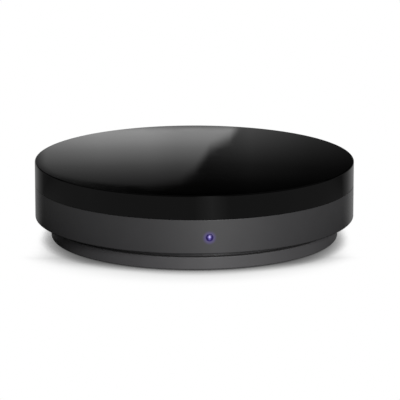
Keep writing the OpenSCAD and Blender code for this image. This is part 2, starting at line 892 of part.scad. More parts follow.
module regulator() {
    color("black") on_board(regulator_place_share) package(regulator_len, regulator_w, regulator_h);
}

module regulator_pins() {
    rise = (regulator_h + regulator_pin_t) / 2;
    color("silver") on_board(regulator_place_share) {
        translate([0, regulator_w / 2, 0]) pin_row(regulator_pins, regulator_pitch, regulator_pin_w,
            regulator_pin_t, regulator_pin_reach, rise);
        rotate([0, 0, 180]) translate([0, regulator_w / 2, 0]) pin_row(1, regulator_pitch,
            regulator_tab_w, regulator_pin_t, regulator_pin_reach, rise);
    }
}

module driver_transistors() {
    color("black") for (place_share = driver_place_shares) on_board(place_share)
        translate([0, 0, driver_stand]) package(driver_len, driver_w, driver_h);
}

module driver_pins() {
    rise = driver_stand + (driver_h + driver_pin_t) / 2;
    color("silver") for (place_share = driver_place_shares) on_board(place_share) {
        translate([0, driver_w / 2, 0])
            pin_row(2, driver_pitch, driver_pin_w, driver_pin_t, driver_pin_reach, rise);
        rotate([0, 0, 180]) translate([0, driver_w / 2, 0])
            pin_row(1, driver_pitch, driver_pin_w, driver_pin_t, driver_pin_reach, rise);
    }
}

module storage_capacitors() {
    color("silver") for (place_share = capacitor_place_shares) on_board(place_share)
        translate([0, 0, capacitor_base_h]) rotate_extrude() difference() {
            square([capacitor_r, capacitor_h]);
            translate([capacitor_r, capacitor_h]) corner_cut(capacitor_edge_r);
            translate([capacitor_r, capacitor_groove_z]) circle(capacitor_groove_r);
        }
}

module capacitor_bases() {
    half_w = capacitor_base_w / 2;
    color("black") for (place_share = capacitor_place_shares) on_board(place_share)
        linear_extrude(capacitor_base_h) polygon([[-half_w, -half_w], [half_w, -half_w],
            [half_w, half_w - capacitor_base_chamfer], [half_w - capacitor_base_chamfer, half_w],
            [capacitor_base_chamfer - half_w, half_w], [-half_w, half_w - capacitor_base_chamfer]]);
}

module inductor() {
    color("dimgray") on_board(inductor_place_share) linear_extrude(inductor_h)
        rounded(inductor_w, inductor_w, inductor_corner_r);
}

module crystal() {
    color("silver") on_board(crystal_place_share) {
        linear_extrude(crystal_flange_t) oblong(crystal_len, crystal_w);
        linear_extrude(crystal_h) oblong(crystal_len - 2 * crystal_flange, crystal_w - 2 * crystal_flange);
    }
}

module small_part() {
    translate([-small_part_len / 2, -small_part_w / 2, 0])
        cube([small_part_len, small_part_w, small_part_h]);
}

module emitter_resistors() {
    color("black") around(emitter_count, emitter_first_angle, resistor_ring_r)
        translate([0, 0, board_top_z]) small_part();
}

module bypass_capacitors() {
    color("tan") for (place_share = bypass_place_shares) on_board(place_share) small_part();
}

top_cover();
middle_case();
base_plate();
rubber_feet();
case_screws();
main_board();
board_screws();
emitter_ring();
ir_emitters();
emitter_leads();
ir_receiver();
receiver_leads();
light_pipe();
status_lamp();
reset_button();
switch_plunger();
switch_body();
switch_bracket();
power_socket_shell();
power_socket_blade();
power_socket_contacts();
radio_board();
radio_can();
radio_antenna();
control_chip();
control_chip_pins();
regulator();
regulator_pins();
driver_transistors();
driver_pins();
storage_capacitors();
capacitor_bases();
inductor();
crystal();
emitter_resistors();
bypass_capacitors();
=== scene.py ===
"""Finish, studio and camera of a round infra-red remote control hub.

Glossy black cover over a matt charcoal case, on a smaller base with rubber feet.
A violet lamp shows in the front; the reset button and the power inlet are at the back.
"""

import json
import math

import bmesh
import bpy
from bpy.props import FloatProperty, FloatVectorProperty, IntProperty, PointerProperty
from mathutils import Matrix, Vector


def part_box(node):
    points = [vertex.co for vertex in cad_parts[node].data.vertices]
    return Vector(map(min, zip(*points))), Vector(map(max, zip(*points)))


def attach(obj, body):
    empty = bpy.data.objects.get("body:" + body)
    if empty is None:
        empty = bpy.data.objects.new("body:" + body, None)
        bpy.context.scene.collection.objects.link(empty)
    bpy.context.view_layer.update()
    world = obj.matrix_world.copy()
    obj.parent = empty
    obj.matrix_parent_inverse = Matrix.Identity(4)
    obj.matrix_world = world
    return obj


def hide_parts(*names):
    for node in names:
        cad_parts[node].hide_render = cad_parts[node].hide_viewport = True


bl_info = {
    "name": "Remote Control Hub",
    "version": (1, 0, 0),
    "blender": (4, 5, 0),
    "location": "3D View > Sidebar > Remote Hub",
    "description": "Builds the finish, the studio and the camera of a round remote control hub",
    "category": "Add Mesh",
}

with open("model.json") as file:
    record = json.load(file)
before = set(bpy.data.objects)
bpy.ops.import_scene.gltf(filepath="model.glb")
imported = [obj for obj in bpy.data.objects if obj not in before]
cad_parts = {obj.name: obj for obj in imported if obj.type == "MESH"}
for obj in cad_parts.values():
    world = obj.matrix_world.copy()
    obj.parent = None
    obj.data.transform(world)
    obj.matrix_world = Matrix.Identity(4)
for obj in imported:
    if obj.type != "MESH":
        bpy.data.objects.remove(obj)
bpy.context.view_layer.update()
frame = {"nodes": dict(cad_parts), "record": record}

MM = 0.001
CASE = "case"
UP = Vector((0, 0, 1))
REAR = math.pi / 2

# Points closer than this are merged
WELD = 1e-7
# Points this close to the band's radius lie on it
ON_BAND = 0.02 * MM
# Edges sharper than these stay sharp, or are the mouth of the plug pocket
SHARP_ANGLE = math.radians(32)
MOUTH_ANGLE = math.radians(40)
# Faces round a small hole or pin, and round a foot
HOLE_STEPS = 64
FOOT_STEPS = 96
FOOT_COUNT = 4
FIRST_FOOT = math.radians(45)
# Faces round the floor and round the reflected wall
FLOOR_STEPS = 96
WALL_STEPS = 180
# Nearest and farthest place that the camera sees
NEAR_CLIP = 10 * MM
FAR_CLIP = 20000 * MM
# Where noise is nearly at its darkest and at its lightest
NOISE_RANGE = (0.3, 0.7)
# Width of the patches of colour, in grains of plastic and in streaks of metal
PATCH_GRAINS = 24
PATCH_STREAKS = 16


def box_top(node):
    """Highest corner of a CAD node."""
    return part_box(node)[1]


def box_bottom(node):
    """Lowest corner of a CAD node."""
    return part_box(node)[0]


# Sizes, finishes and studio


def length(name, description, default):
    """A length that the user can change."""
    return FloatProperty(
        name=name, description=description, default=default, precision=5, unit="LENGTH"
    )


def turn(name, description, default):
    """An angle that the user can change, given in degrees."""
    return FloatProperty(
        name=name, description=description, default=math.radians(default), unit="ROTATION"
    )


def share(name, description, default, high=1.0):
    """A plain number that the user can change."""
    return FloatProperty(
        name=name, description=description, default=default, min=0.0, max=high, precision=3
    )


def colour(name, description, default):
    """A linear colour that the user can change."""
    return FloatVectorProperty(
        name=name, description=description, default=default, subtype="COLOR", min=0.0, max=1.0
    )


class HubSizes(bpy.types.PropertyGroup):
    """Sizes of the pieces that are modelled here."""

    spin_steps: IntProperty(
        name="Spin steps", description="Faces round the case", default=360, min=48
    )
    round_steps: IntProperty(
        name="Rounding steps", description="Faces across a rounded edge", default=6, min=2
    )
    body_radius: length("Body radius", "Radius of the cover and the case", box_top("middle_case").x)
    top_height: length("Top height", "Top of the cover", box_top("top_cover").z)
    seam_height: length("Seam height", "Seam of cover and case", 18.8 * MM)
    seam_gap: length("Seam gap", "Shadow gap under the cover", 0.05 * MM)
    cover_wall: length("Cover wall", "Wall of the cover's side and top", 2 * MM)
    top_edge: length("Top edge", "Rounding of the cover's top edge", 0.4 * MM)
    cover_edge: length("Cover edge", "Rounding of the cover's lower edge", 0.12 * MM)
    case_edge: length("Case edge", "Rounding of the case's upper edge", 0.2 * MM)
    tongue_radius: length("Tongue radius", "Outside of the lap under the cover", 53.8 * MM)
    tongue_height: length("Tongue height", "Height of the lap above the seam", 1.2 * MM)
    lap_gap: length("Lap gap", "Clearance between lap and cover", 0.1 * MM)
    band_height: length("Band height", "Lower edge of the case's band", 7.2 * MM)
    band_edge: length("Band edge", "Rounding of the band's lower edge", 0.45 * MM)
    band_wall: length("Band wall", "Wall of the case's band", 2.2 * MM)
    floor_wall: length("Floor wall", "Thickness of the case's floor", 1.8 * MM)
    neck_radius: length("Neck radius", "Outside of the neck in the groove", 47.5 * MM)
    base_radius: length("Base radius", "Radius of the base", box_top("base_plate").x)
    base_bottom: length("Base bottom", "Underside of the base", box_bottom("base_plate").z)
    rim_height: length("Rim height", "Upper rim of the base", 4.8 * MM)
    base_edge: length("Base edge", "Rounding of the base's lower edge", 0.5 * MM)
    rim_edge: length("Rim edge", "Rounding of the base's upper edge", 0.3 * MM)
    base_wall: length("Base wall", "Wall of the base's side", 1.8 * MM)
    base_floor: length("Base floor", "Thickness of the base's floor", 1.6 * MM)
    foot_radius: length("Foot radius", "Radius of a rubber foot", 5.5 * MM)
    foot_ring: length("Foot ring", "Distance of a foot from the middle", 34.1 * MM)
    foot_height: length("Foot height", "Thickness of a rubber foot", box_top("rubber_feet").z)
    foot_edge: length("Foot edge", "Rounding of a rubber foot", 0.3 * MM)
    foot_gap: length("Foot gap", "Clearance round a rubber foot", 0.2 * MM)
    hole_edge: length("Hole edge", "Easing of the holes' mouths", 0.15 * MM)
    lamp_angle: turn("Lamp angle", "Place of the lamp round the case", 275.216)
    lamp_height: length("Lamp height", "Middle of the lamp and the button", 12.8 * MM)
    pipe_radius: length("Pipe radius", "Radius of the light pipe", 1.1 * MM)
    pipe_tail: length("Pipe tail", "Inner end of the light pipe", 48.9 * MM)
    pipe_tip: length("Pipe tip", "Outer end of the light pipe", 55.15 * MM)
    pipe_dome: length("Pipe dome", "Radius of the light pipe's dome", 3 * MM)
    pipe_gap: length("Pipe gap", "Clearance round the light pipe", 0.1 * MM)
    collar_width: length("Collar width", "How far the light pipe's collar stands out", 0.9 * MM)
    collar_room: length("Collar room", "Depth kept for the light pipe's collar", 1 * MM)
    collar_gap: length("Collar gap", "Clearance between the collar and its pad", 0.05 * MM)
    core_rise: length("Core rise", "Bright core, above the middle of the lamp", 0.25 * MM)
    echo_drop: length("Echo drop", "Dimmer spot, below the middle of the lamp", 0.5 * MM)
    button_angle: turn("Button angle", "Place of the reset button round the case", 73)
    button_radius: length("Button radius", "Radius of the reset button", 2 * MM)
    button_root: length("Button root", "Inner end of the reset button", 49.75 * MM)
    button_tip: length("Button tip", "Outer end of the reset button", 55.5 * MM)
    button_edge: length("Button edge", "Rounding of the reset button", 0.3 * MM)
    button_dish: length("Button dish", "Depth of the button's finger dish", 0.25 * MM)
    button_rim: length("Button rim", "Flat rim round the finger dish", 0.3 * MM)
    button_gap: length("Button gap", "Clearance round the reset button", 0.15 * MM)
    stem_radius: length("Stem radius", "Radius of the button's inner stem", 1.2 * MM)
    stem_length: length("Stem length", "Length of the button's inner stem", 1 * MM)
    flange_width: length("Flange width", "How far the button's flange stands out", 1 * MM)
    flange_wall: length("Flange wall", "Thickness of the button's flange", 1 * MM)
    pocket_width: length("Pocket width", "Width of the plug pocket", 12 * MM)
    pocket_rise: length("Pocket rise", "Height of the plug pocket", 7.4 * MM)
    pocket_depth: length("Pocket depth", "Depth of the plug pocket", 5 * MM)
    pocket_corner: length("Pocket corner", "Corner radius of the plug pocket", 1.4 * MM)
    pocket_wall: length("Pocket wall", "Wall round the plug pocket", 1 * MM)
    pocket_edge: length("Pocket edge", "Easing of the plug pocket's mouth", 0.3 * MM)
    port_wall: length("Port wall", "Wall behind the plug pocket", 1.2 * MM)
    port_corner: length("Port corner", "Corner radius of the socket's opening", 0.6 * MM)
    port_gap: length("Port gap", "Clearance round the socket's shell", 0.25 * MM)
    shell_width: length("Shell width", "Width of the socket's shell", 7.5 * MM)
    shell_rise: length("Shell rise", "Height of the socket's shell", 2.6 * MM)
    shell_wall: length("Shell wall", "Sheet of the socket's shell", 0.3 * MM)
    shell_slope: length("Shell slope", "Cut lower corners of the shell", 0.8 * MM)
    tab_width: length("Tab width", "Width of a solder tab", 1.4 * MM)
    tab_sheet: length("Tab sheet", "Thickness of a solder tab", 0.2 * MM)


class HubFinish(bpy.types.PropertyGroup):
    """Colours and surface values of the finishes."""

    gloss_black: colour("Gloss black", "Cover that passes infra-red", (0.0006, 0.0005, 0.0006))
    gloss_roughness: share("Gloss roughness", "Roughness of the polished cover", 0.035)
    charcoal: colour("Charcoal", "Matt case", (0.022, 0.0216, 0.0228))
    # Painted light: a lighter copy of the case's charcoal, so that the base shows brighter than the
    # band though both are the same plastic
    lit_base_charcoal: colour("Base charcoal", "Base", (0.046, 0.045, 0.047))
    charcoal_roughness: share("Charcoal roughness", "Roughness of the matt case", 0.6)
    satin: share("Satin", "Share of the smooth skin on the matt plastic", 0.9)
    satin_roughness: share("Satin roughness", "Roughness of that skin", 0.12)
    charcoal_shine: share("Charcoal shine", "Specular level of the matt plastic", 0.42)
    grain: length("Grain", "Width of the spark texture's pits", 0.14 * MM)
    lamp_core: colour("Lamp core", "Middle of the lit lamp", (0.56, 0.5, 0.86))
    lamp_ring: colour("Lamp ring", "Edge of the lit lamp", (0.012, 0.007, 0.06))
    lamp_echo: colour("Lamp echo", "Dimmer spot under the lamp's core", (0.085, 0.07, 0.23))
    lamp_glow: colour("Lamp glow", "Between the core and the edge", (0.13, 0.1, 0.36))
    lamp_clear: colour("Lamp clear", "Unlit plastic of the light pipe", (0.01, 0.008, 0.03))
    # Painted glow: the case round the light pipe gives off the lamp's violet light
    painted_lamp_halo: colour("Lamp halo", "Light that leaks into the case", (0.035, 0.018, 0.13))
    painted_halo_reach: length("Halo reach", "How far that light goes", 2.6 * MM)
    rubber: colour("Rubber", "Feet", (0.018, 0.018, 0.019))
    steel: colour("Steel", "Screws", (0.58, 0.58, 0.6))
    laminate: colour("Laminate", "Solder mask of the boards", (0.008, 0.085, 0.045))
    tin: colour("Tin", "Leads, pins, brackets and cans", (0.66, 0.66, 0.67))
    gold: colour("Gold", "Contacts and antenna", (0.83, 0.58, 0.22))
    aluminium: colour("Aluminium", "Cans of the storage capacitors", (0.7, 0.7, 0.71))


class HubStudio(bpy.types.PropertyGroup):
    """Camera, light and surroundings."""

    camera_distance: length("Camera distance", "Camera to the middle of the base", 1110 * MM)
    camera_rise: turn("Camera rise", "Height angle of the camera", 14.16)
    lens: FloatProperty(name="Lens", description="Focal length", default=287.9, unit="CAMERA")
    aim_right: length("Aim right", "Picture's middle, right of the base's middle", 1.955 * MM)
    aim_up: length("Aim up", "Picture's middle, above the base's middle", 12.08 * MM)
    floor_radius: length("Floor radius", "Size of the pale floor", 3000 * MM)
    wall_radius: length("Wall radius", "Distance of the reflected wall", 300 * MM)
    wall_height: length("Wall height", "Height of the reflected wall", 240 * MM)
    lamp_distance: length("Lamp distance", "Softboxes to the middle of the base", 1000 * MM)
    overhead: share("Overhead", "Strength of the overhead softbox", 6.0, 100.0)
    overhead_size: length("Overhead size", "Side of the overhead softbox", 600 * MM)
    overhead_rise: turn("Overhead rise", "Height angle of the overhead softbox", 72)
    key: share("Key", "Strength of the front and the rear softbox", 12.8, 100.0)
    key_size: length("Key size", "Side of the front softbox", 300 * MM)
    key_azimuth: turn("Key azimuth", "Turn of the front softbox to the right", 16)
    key_rise: turn("Key rise", "Height angle of the front softbox", 17)
    rear_size: length("Rear size", "Side of the rear softbox", 500 * MM)
    rear_rise: turn("Rear rise", "Height angle of the rear softbox", 30)
    fill: share("Fill", "Strength of the surroundings", 0.03, 10.0)
    gloss_fill: share("Gloss fill", "Surroundings that the gloss sees", 0.06)
    paper: colour("Paper", "Floor as the matt surfaces see it", (0.12, 0.12, 0.12))
    shadow_reach: length("Shadow reach", "How far the contact shadow reaches", 25 * MM)


# Meshes


def round_corner(bm, corner, size):
    """Rounds one corner of an outline."""
    bmesh.ops.bevel(
        bm,
        geom=[corner],
        offset=size,
        offset_type="OFFSET",
        segments=bpy.context.scene.hub_sizes.round_steps,
        profile=0.5,
        affect="VERTICES",
        material=-1,
    )


def draw_outline(bm, outline, closed):
    """Draws corners of (radius, height, rounding) as a line of edges in the XZ plane."""
    corners = [bm.verts.new((radius, 0, height)) for radius, height, rounding in outline]
    for start, end in zip(corners, corners[1:]):
        bm.edges.new((start, end))
    if closed:
        bm.edges.new((corners[-1], corners[0]))
    for corner, (radius, height, rounding) in zip(corners, outline):
        if rounding:
            round_corner(bm, corner, rounding)


def cap_outline(rim, height, rise, steps=8):
    """Outline of a shallow dome, or of a dish where the rise is negative, from its rim inwards."""
    ball = (rim**2 + rise**2) / (2 * abs(rise))
    points = []
    for index in range(steps + 1):
        radius = rim * (1 - index / steps)
        drop = ball - math.sqrt(ball**2 - radius**2)
        points.append((radius, height + rise - math.copysign(drop, rise), 0))
    return points


def lathe(outline, steps):
    """Spins an outline round the vertical axis. One that starts and ends there is closed by it."""
    bm = bmesh.new()
    draw_outline(bm, outline, closed=outline[0][0] > 0)
    bmesh.ops.spin(
        bm,
        geom=bm.verts[:] + bm.edges[:],
        cent=(0, 0, 0),
        axis=(0, 0, 1),
        angle=math.tau,
        steps=steps,
        use_merge=True,
    )
    bmesh.ops.remove_doubles(bm, verts=bm.verts, dist=WELD)
    bmesh.ops.recalc_face_normals(bm, faces=bm.faces)
    return bm


def rounded_block(width, rise, corner, start, end):
    """Block with rounded corners, from start to end along Z."""
    bm = bmesh.new()
    half_width = width / 2
    half_rise = rise / 2
    corners = [
        bm.verts.new((x * half_width, y * half_rise, start))
        for x, y in ((-1, -1), (1, -1), (1, 1), (-1, 1))
    ]
    bm.faces.new(corners)
    for vert in corners:
        round_corner(bm, vert, corner)
    extrude(bm, bm.faces[:], end - start)
    return bm


def extrude(bm, faces, depth):
    """Extrudes flat faces along Z into a closed block."""
    made = bmesh.ops.extrude_face_region(bm, geom=faces)
    moved = [item for item in made["geom"] if isinstance(item, bmesh.types.BMVert)]
    bmesh.ops.translate(bm, verts=moved, vec=(0, 0, depth))
    bmesh.ops.recalc_face_normals(bm, faces=bm.faces)


def facing(angle, radius, height):
    """Place on the case's wall: X along it, Y up and Z outwards."""
    outwards = Vector((math.cos(angle), math.sin(angle), 0))
    along = Vector((-math.sin(angle), math.cos(angle), 0))
    spot = outwards * radius + UP * height
    return Matrix.Translation(spot) @ Matrix((along, UP, outwards)).transposed().to_4x4()


def place(bm, matrix):
    """Moves a whole mesh to its place."""
    bmesh.ops.transform(bm, matrix=matrix, verts=bm.verts)
    return bm


def join(first, *others):
    """Adds other meshes to the first."""
    for other in others:
        carrier = bpy.data.meshes.new("carrier")
        other.to_mesh(carrier)
        other.free()
        first.from_mesh(carrier)
        bpy.data.meshes.remove(carrier)
    return first


def make_object(name, bm):
    """Turns a bmesh into an object of the scene."""
    mesh = bpy.data.meshes.new(name)
    bm.to_mesh(mesh)
    bm.free()
    piece = bpy.data.objects.new(name, mesh)
    bpy.context.scene.collection.objects.link(piece)
    return piece


def combine(piece, bm, operation):
    """Cuts a shape from a piece, or adds it, and keeps the result in the piece's own mesh."""
    tool = make_object("tool", bm)
    modifier = piece.modifiers.new("combine", "BOOLEAN")
    modifier.operation = operation
    modifier.solver = "EXACT"
    modifier.object = tool
    bpy.context.view_layer.update()
    shaped = bpy.data.meshes.new_from_object(
        piece.evaluated_get(bpy.context.evaluated_depsgraph_get())
    )
    piece.modifiers.clear()
    old = piece.data
    piece.data = shaped
    shaped.name = piece.name
    bpy.data.meshes.remove(old)
    bpy.data.objects.remove(tool)


def ease_edges(piece, chosen, size, steps):
    """Rounds the edges of a piece that the test picks."""
    bm = bmesh.new()
    bm.from_mesh(piece.data)
    edges = [edge for edge in bm.edges if len(edge.link_faces) == 2 and chosen(edge)]
    bmesh.ops.bevel(
        bm,
        geom=edges,
        offset=size,
        offset_type="OFFSET",
        segments=steps,
        profile=0.5,
        affect="EDGES",
        material=-1,
        clamp_overlap=True,
    )
    bm.to_mesh(piece.data)
    bm.free()


def finish_piece(piece, body, slot, replaced, material=None):
    """Shades a piece, gives it its slot's finish or another, and sets it on its body."""
    mesh = piece.data
    mesh.shade_smooth()
    mesh.set_sharp_from_angle(angle=SHARP_ANGLE)
    weights = piece.modifiers.new("flat faces", "WEIGHTED_NORMAL")
    weights.keep_sharp = True
    mesh.materials.clear()
    mesh.materials.append(material or slot_material(slot))
    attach(piece, body)
    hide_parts(replaced)


# Materials


def wire(tree, node, inputs):
    """Links or sets inputs of a shader node."""
    for key, value in inputs.items():
        if isinstance(value, bpy.types.NodeSocket):
            tree.links.new(value, node.inputs[key])
        else:
            node.inputs[key].default_value = value


def add(tree, kind, inputs=None, **settings):
    """Adds a shader node, with its settings, and values or links for its inputs."""
    made = tree.nodes.new("ShaderNode" + kind)
    for key, value in settings.items():
        setattr(made, key, value)
    wire(tree, made, inputs or {})
    return made


def maths(tree, operation, *values):
    """Result of one math node."""
    return add(tree, "Math", dict(enumerate(values)), operation=operation).outputs[0]


def times(tree, first, *others):
    """Product of values."""
    for other in others:
        first = maths(tree, "MULTIPLY", first, other)
    return first


def plus(tree, first, *others):
    """Sum of values."""
    for other in others:
        first = maths(tree, "ADD", first, other)
    return first


def shared(tree, share_of_first, first, second):
    """First value where its share is 1, second where it is 0."""
    rest = maths(tree, "SUBTRACT", 1.0, share_of_first)
    return plus(tree, times(tree, first, share_of_first), times(tree, second, rest))


def span(tree, value, low, high, start, end):
    """Goes from start at low to end at high."""
    inputs = {"Value": value, "From Min": low, "From Max": high, "To Min": start, "To Max": end}
    return add(tree, "MapRange", inputs).outputs[0]


def blend(tree, value, low, high):
    """Goes smoothly from 0 at low to 1 at high."""
    inputs = {"Value": value, "From Min": low, "From Max": high}
    return add(tree, "MapRange", inputs, interpolation_type="SMOOTHSTEP").outputs[0]


def set_stop(element, position, tone):
    """Gives a stop of a colour ramp its place and its grey or colour."""
    rgb = tone if hasattr(tone, "__len__") else (tone, tone, tone)
    element.position = position
    element.color = (*rgb[:3], 1.0)


def ramp(tree, value, stops, easing="LINEAR"):
    """Colour ramp from stops of (position, grey or colour), in order."""
    made = add(tree, "ValToRGB", {"Fac": value})
    made.color_ramp.interpolation = easing
    elements = made.color_ramp.elements
    first, *middle, last = stops
    set_stop(elements[0], *first)
    set_stop(elements[1], *last)
    for stop in middle:
        set_stop(elements.new(stop[0]), *stop)
    return made.outputs[0]


def track(tree, value, low, high, stops):
    """Tone that follows a value from low to high, from stops of (share of the way, tone)."""
    return ramp(tree, span(tree, value, low, high, 0.0, 1.0), stops)


def new_material(name):
    """An empty material with its shader, its output and its Object coordinates."""
    material = bpy.data.materials.new(name)
    material.use_nodes = True
    tree = material.node_tree
    tree.nodes.clear()
    shader = add(tree, "BsdfPrincipled")
    add(tree, "OutputMaterial", {"Surface": shader.outputs[0]})
    spot = add(tree, "TexCoord").outputs["Object"]
    return material, tree, shader, spot


def noise(tree, spot, width, detail=2.0):
    """Noise whose lumps are about as wide as the given length."""
    inputs = {"Vector": spot, "Scale": 1.0 / width, "Detail": detail, "Roughness": 0.55}
    return add(tree, "TexNoise", inputs).outputs[0]


def vary(tree, value, base, spread):
    """A value that noise moves up and down round its base."""
    return span(tree, value, *NOISE_RANGE, base - spread, base + spread)


def tint(tree, value, rgb, spread):
    """A colour that noise makes lighter and darker."""
    dark = tuple(channel * (1 - spread) for channel in rgb[:3])
    light = tuple(channel * (1 + spread) for channel in rgb[:3])
    return ramp(tree, value, tuple(zip(NOISE_RANGE, (dark, light))))


def bump(tree, height, depth):
    """Bump whose relief is about as deep as the given length."""
    inputs = {"Height": height, "Distance": depth, "Strength": 1.0}
    return add(tree, "Bump", inputs).outputs[0]


def moulded(name, rgb, roughness, grain, depth):
    """Moulded or fired surface: fine grain, uneven gloss and slightly uneven colour."""
    material, tree, shader, spot = new_material(name)
    fine = noise(tree, spot, grain)
    broad = noise(tree, spot, PATCH_GRAINS * grain)
    finish = {
        "Base Color": tint(tree, broad, rgb, spread=0.08),
        "Roughness": vary(tree, fine, roughness, spread=0.06),
        "Normal": bump(tree, fine, depth),
    }
    wire(tree, shader, finish)
    return material


def plated(name, rgb, roughness, streak):
    """Metal sheet, plating or wire: fine streaks and a dull patch here and there."""
    material, tree, shader, spot = new_material(name)
    stretched = add(tree, "Mapping", {"Vector": spot, "Scale": (1.0, 1.0, 0.15)}).outputs[0]
    streaks = noise(tree, stretched, streak, detail=4.0)
    patches = noise(tree, spot, PATCH_STREAKS * streak)
    finish = {
        "Metallic": 1.0,
        "Base Color": tint(tree, patches, rgb, spread=0.1),
        "Roughness": vary(tree, streaks, roughness, spread=0.1),
        "Normal": bump(tree, streaks, depth=0.004 * MM),
    }
    wire(tree, shader, finish)
    return material


def polished_black(finish):
    """Mirror-polished plastic that passes infra-red, with a trace of handling haze."""
    material, tree, shader, spot = new_material("polished black")
    haze = noise(tree, spot, width=9 * MM, detail=3.0)
    specks = noise(tree, spot, width=0.35 * MM, detail=1.0)
    polish = {
        "Base Color": tint(tree, haze, finish.gloss_black, spread=0.2),
        "Roughness": vary(tree, haze, finish.gloss_roughness, spread=0.012),
        "Normal": bump(tree, specks, depth=0.0002 * MM),
        "IOR": 1.5,
    }
    wire(tree, shader, polish)
    return material


def round_light(tree, spot, middle, radius, stops):
    """Light that follows the distance from its middle, from stops of (share of radius, tone)."""
    away = add(tree, "VectorMath", {0: spot, 1: middle}, operation="DISTANCE").outputs["Value"]
    return ramp(tree, maths(tree, "DIVIDE", away, radius), stops, "EASE")


def charcoal(finish, sizes, name, rgb, satin):
    """Spark-textured charcoal plastic, with a painted violet glow of the lamp on it round the pipe.
    """
    material, tree, shader, spot = new_material(name)
    pits = noise(tree, spot, finish.grain, detail=3.0)
    broad = noise(tree, spot, width=7 * MM)
    lamp = facing(sizes.lamp_angle, sizes.body_radius, sizes.lamp_height).translation
    # Painted glow of the lamp on the case, fading out from the pipe
    painted_halo = ((0.0, finish.painted_lamp_halo), (0.45, finish.painted_lamp_halo), (1.0, 0.0))
    texture = {
        "Base Color": tint(tree, broad, rgb, spread=0.04),
        "Roughness": vary(tree, pits, finish.charcoal_roughness, spread=0.05),
        "Normal": bump(tree, pits, depth=0.012 * MM),
        "Specular IOR Level": finish.charcoal_shine,
        "Coat Weight": satin,
        "Coat Roughness": finish.satin_roughness,
        "Emission Color": round_light(tree, spot, lamp, finish.painted_halo_reach, painted_halo),
        "Emission Strength": 1.0,
    }
    wire(tree, shader, texture)
    return material


def lit_pipe(finish, sizes):
    """Clear light pipe: bright core, dimmer spot below it, and deep violet at its edge."""
    material, tree, shader, spot = new_material("lit light pipe")
    lamp = facing(sizes.lamp_angle, sizes.pipe_tip, sizes.lamp_height).translation
    core = (
        (0.0, finish.lamp_core),
        (0.14, finish.lamp_core),
        (0.42, finish.lamp_glow),
        (0.7, finish.lamp_ring),
        (1.0, finish.lamp_ring),
    )
    echo = ((0.0, finish.lamp_echo), (0.3, finish.lamp_echo), (1.0, 0.0))
    core_spot = lamp + UP * sizes.core_rise
    echo_spot = lamp - UP * sizes.echo_drop
    upper = round_light(tree, spot, core_spot, sizes.pipe_radius, core)
    lower = round_light(tree, spot, echo_spot, sizes.pipe_radius / 2, echo)
    swirl = noise(tree, spot, width=0.4 * MM)
    glow = {
        "Base Color": (*finish.lamp_clear, 1.0),
        "Roughness": vary(tree, swirl, base=0.12, spread=0.05),
        "Emission Color": add(
            tree, "VectorMath", {0: upper, 1: lower}, operation="ADD"
        ).outputs[0],
        "Emission Strength": 1.0,
    }
    wire(tree, shader, glow)
    return material


def threads(tree, spot, direction):
    """One set of threads of the glass cloth in a circuit board."""
    inputs = {"Vector": spot, "Scale": 0.35 / MM, "Distortion": 0.6}
    return add(tree, "TexWave", inputs, bands_direction=direction).outputs[1]


def laminate(finish):
    """Solder mask over glass cloth: the weave shows faintly through the green."""
    material, tree, shader, spot = new_material("solder mask")
    weave = times(tree, threads(tree, spot, "X"), threads(tree, spot, "Y"))
    mask = {
        "Base Color": tint(tree, weave, finish.laminate, spread=0.2),
        "Roughness": vary(tree, weave, base=0.32, spread=0.08),
        "Normal": bump(tree, weave, depth=0.01 * MM),
    }
    wire(tree, shader, mask)
    return material


def tinted_lens(name, rgb):
    """Clear tinted epoxy, darker where it is thick."""
    material, tree, shader, spot = new_material(name)
    swirl = noise(tree, spot, width=1.6 * MM)
    epoxy = {
        "Base Color": tint(tree, swirl, rgb, spread=0.15),
        "Roughness": vary(tree, swirl, base=0.1, spread=0.04),
        "Transmission Weight": 0.35,
    }
    wire(tree, shader, epoxy)
    return material


# Slot, and the name, colour, roughness and depth of relief of its moulded or fired finish
MOULDED = {
    "carrier_plastic": ("carrier plastic", (0.16, 0.16, 0.17), 0.5, 0.01 * MM),
    "lamp_white": ("white nylon", (0.75, 0.74, 0.7), 0.5, 0.006 * MM),
    "button_plastic": ("satin black", (0.03, 0.03, 0.033), 0.42, 0.008 * MM),
    "chip_black": ("moulded epoxy", (0.016, 0.016, 0.017), 0.6, 0.01 * MM),
    "ferrite": ("sintered ferrite", (0.06, 0.06, 0.065), 0.7, 0.02 * MM),
    "resistor_ceramic": ("glazed ceramic", (0.05, 0.05, 0.055), 0.3, 0.004 * MM),
    "capacitor_ceramic": ("fired ceramic", (0.45, 0.33, 0.2), 0.55, 0.01 * MM),
}
# Slot, and the name and colour of its clear epoxy
LENSES = {
    "emitter_lens": ("violet epoxy", (0.3, 0.18, 0.42)),
    "receiver_lens": ("dark epoxy", (0.012, 0.01, 0.014)),
}
MATERIALS = {}


def slot_materials():
    """One finish for each material slot of the record."""
    finish = bpy.context.scene.hub_finish
    sizes = bpy.context.scene.hub_sizes
    grain = finish.grain
    made = {
        "gloss_cover": polished_black(finish),
        "matt_case": charcoal(
            finish, sizes, "spark textured charcoal", finish.charcoal, finish.satin
        ),
        "foot_rubber": moulded("moulded rubber", finish.rubber, 0.78, grain, depth=0.02 * MM),
        "screw_steel": plated("zinc plated steel", finish.steel, 0.34, grain),
        "board_laminate": laminate(finish),
        "clear_plastic": lit_pipe(finish, sizes),
        "tinned_metal": plated("tin plate", finish.tin, 0.3, grain),
        "gold_plate": plated("gold flash", finish.gold, 0.22, grain),
        "capacitor_can": plated("drawn aluminium", finish.aluminium, 0.36, grain),
    }
    for slot, (name, rgb, roughness, depth) in MOULDED.items():
        made[slot] = moulded(name, rgb, roughness, grain, depth)
    for slot, (name, rgb) in LENSES.items():
        made[slot] = tinted_lens(name, rgb)
    return made


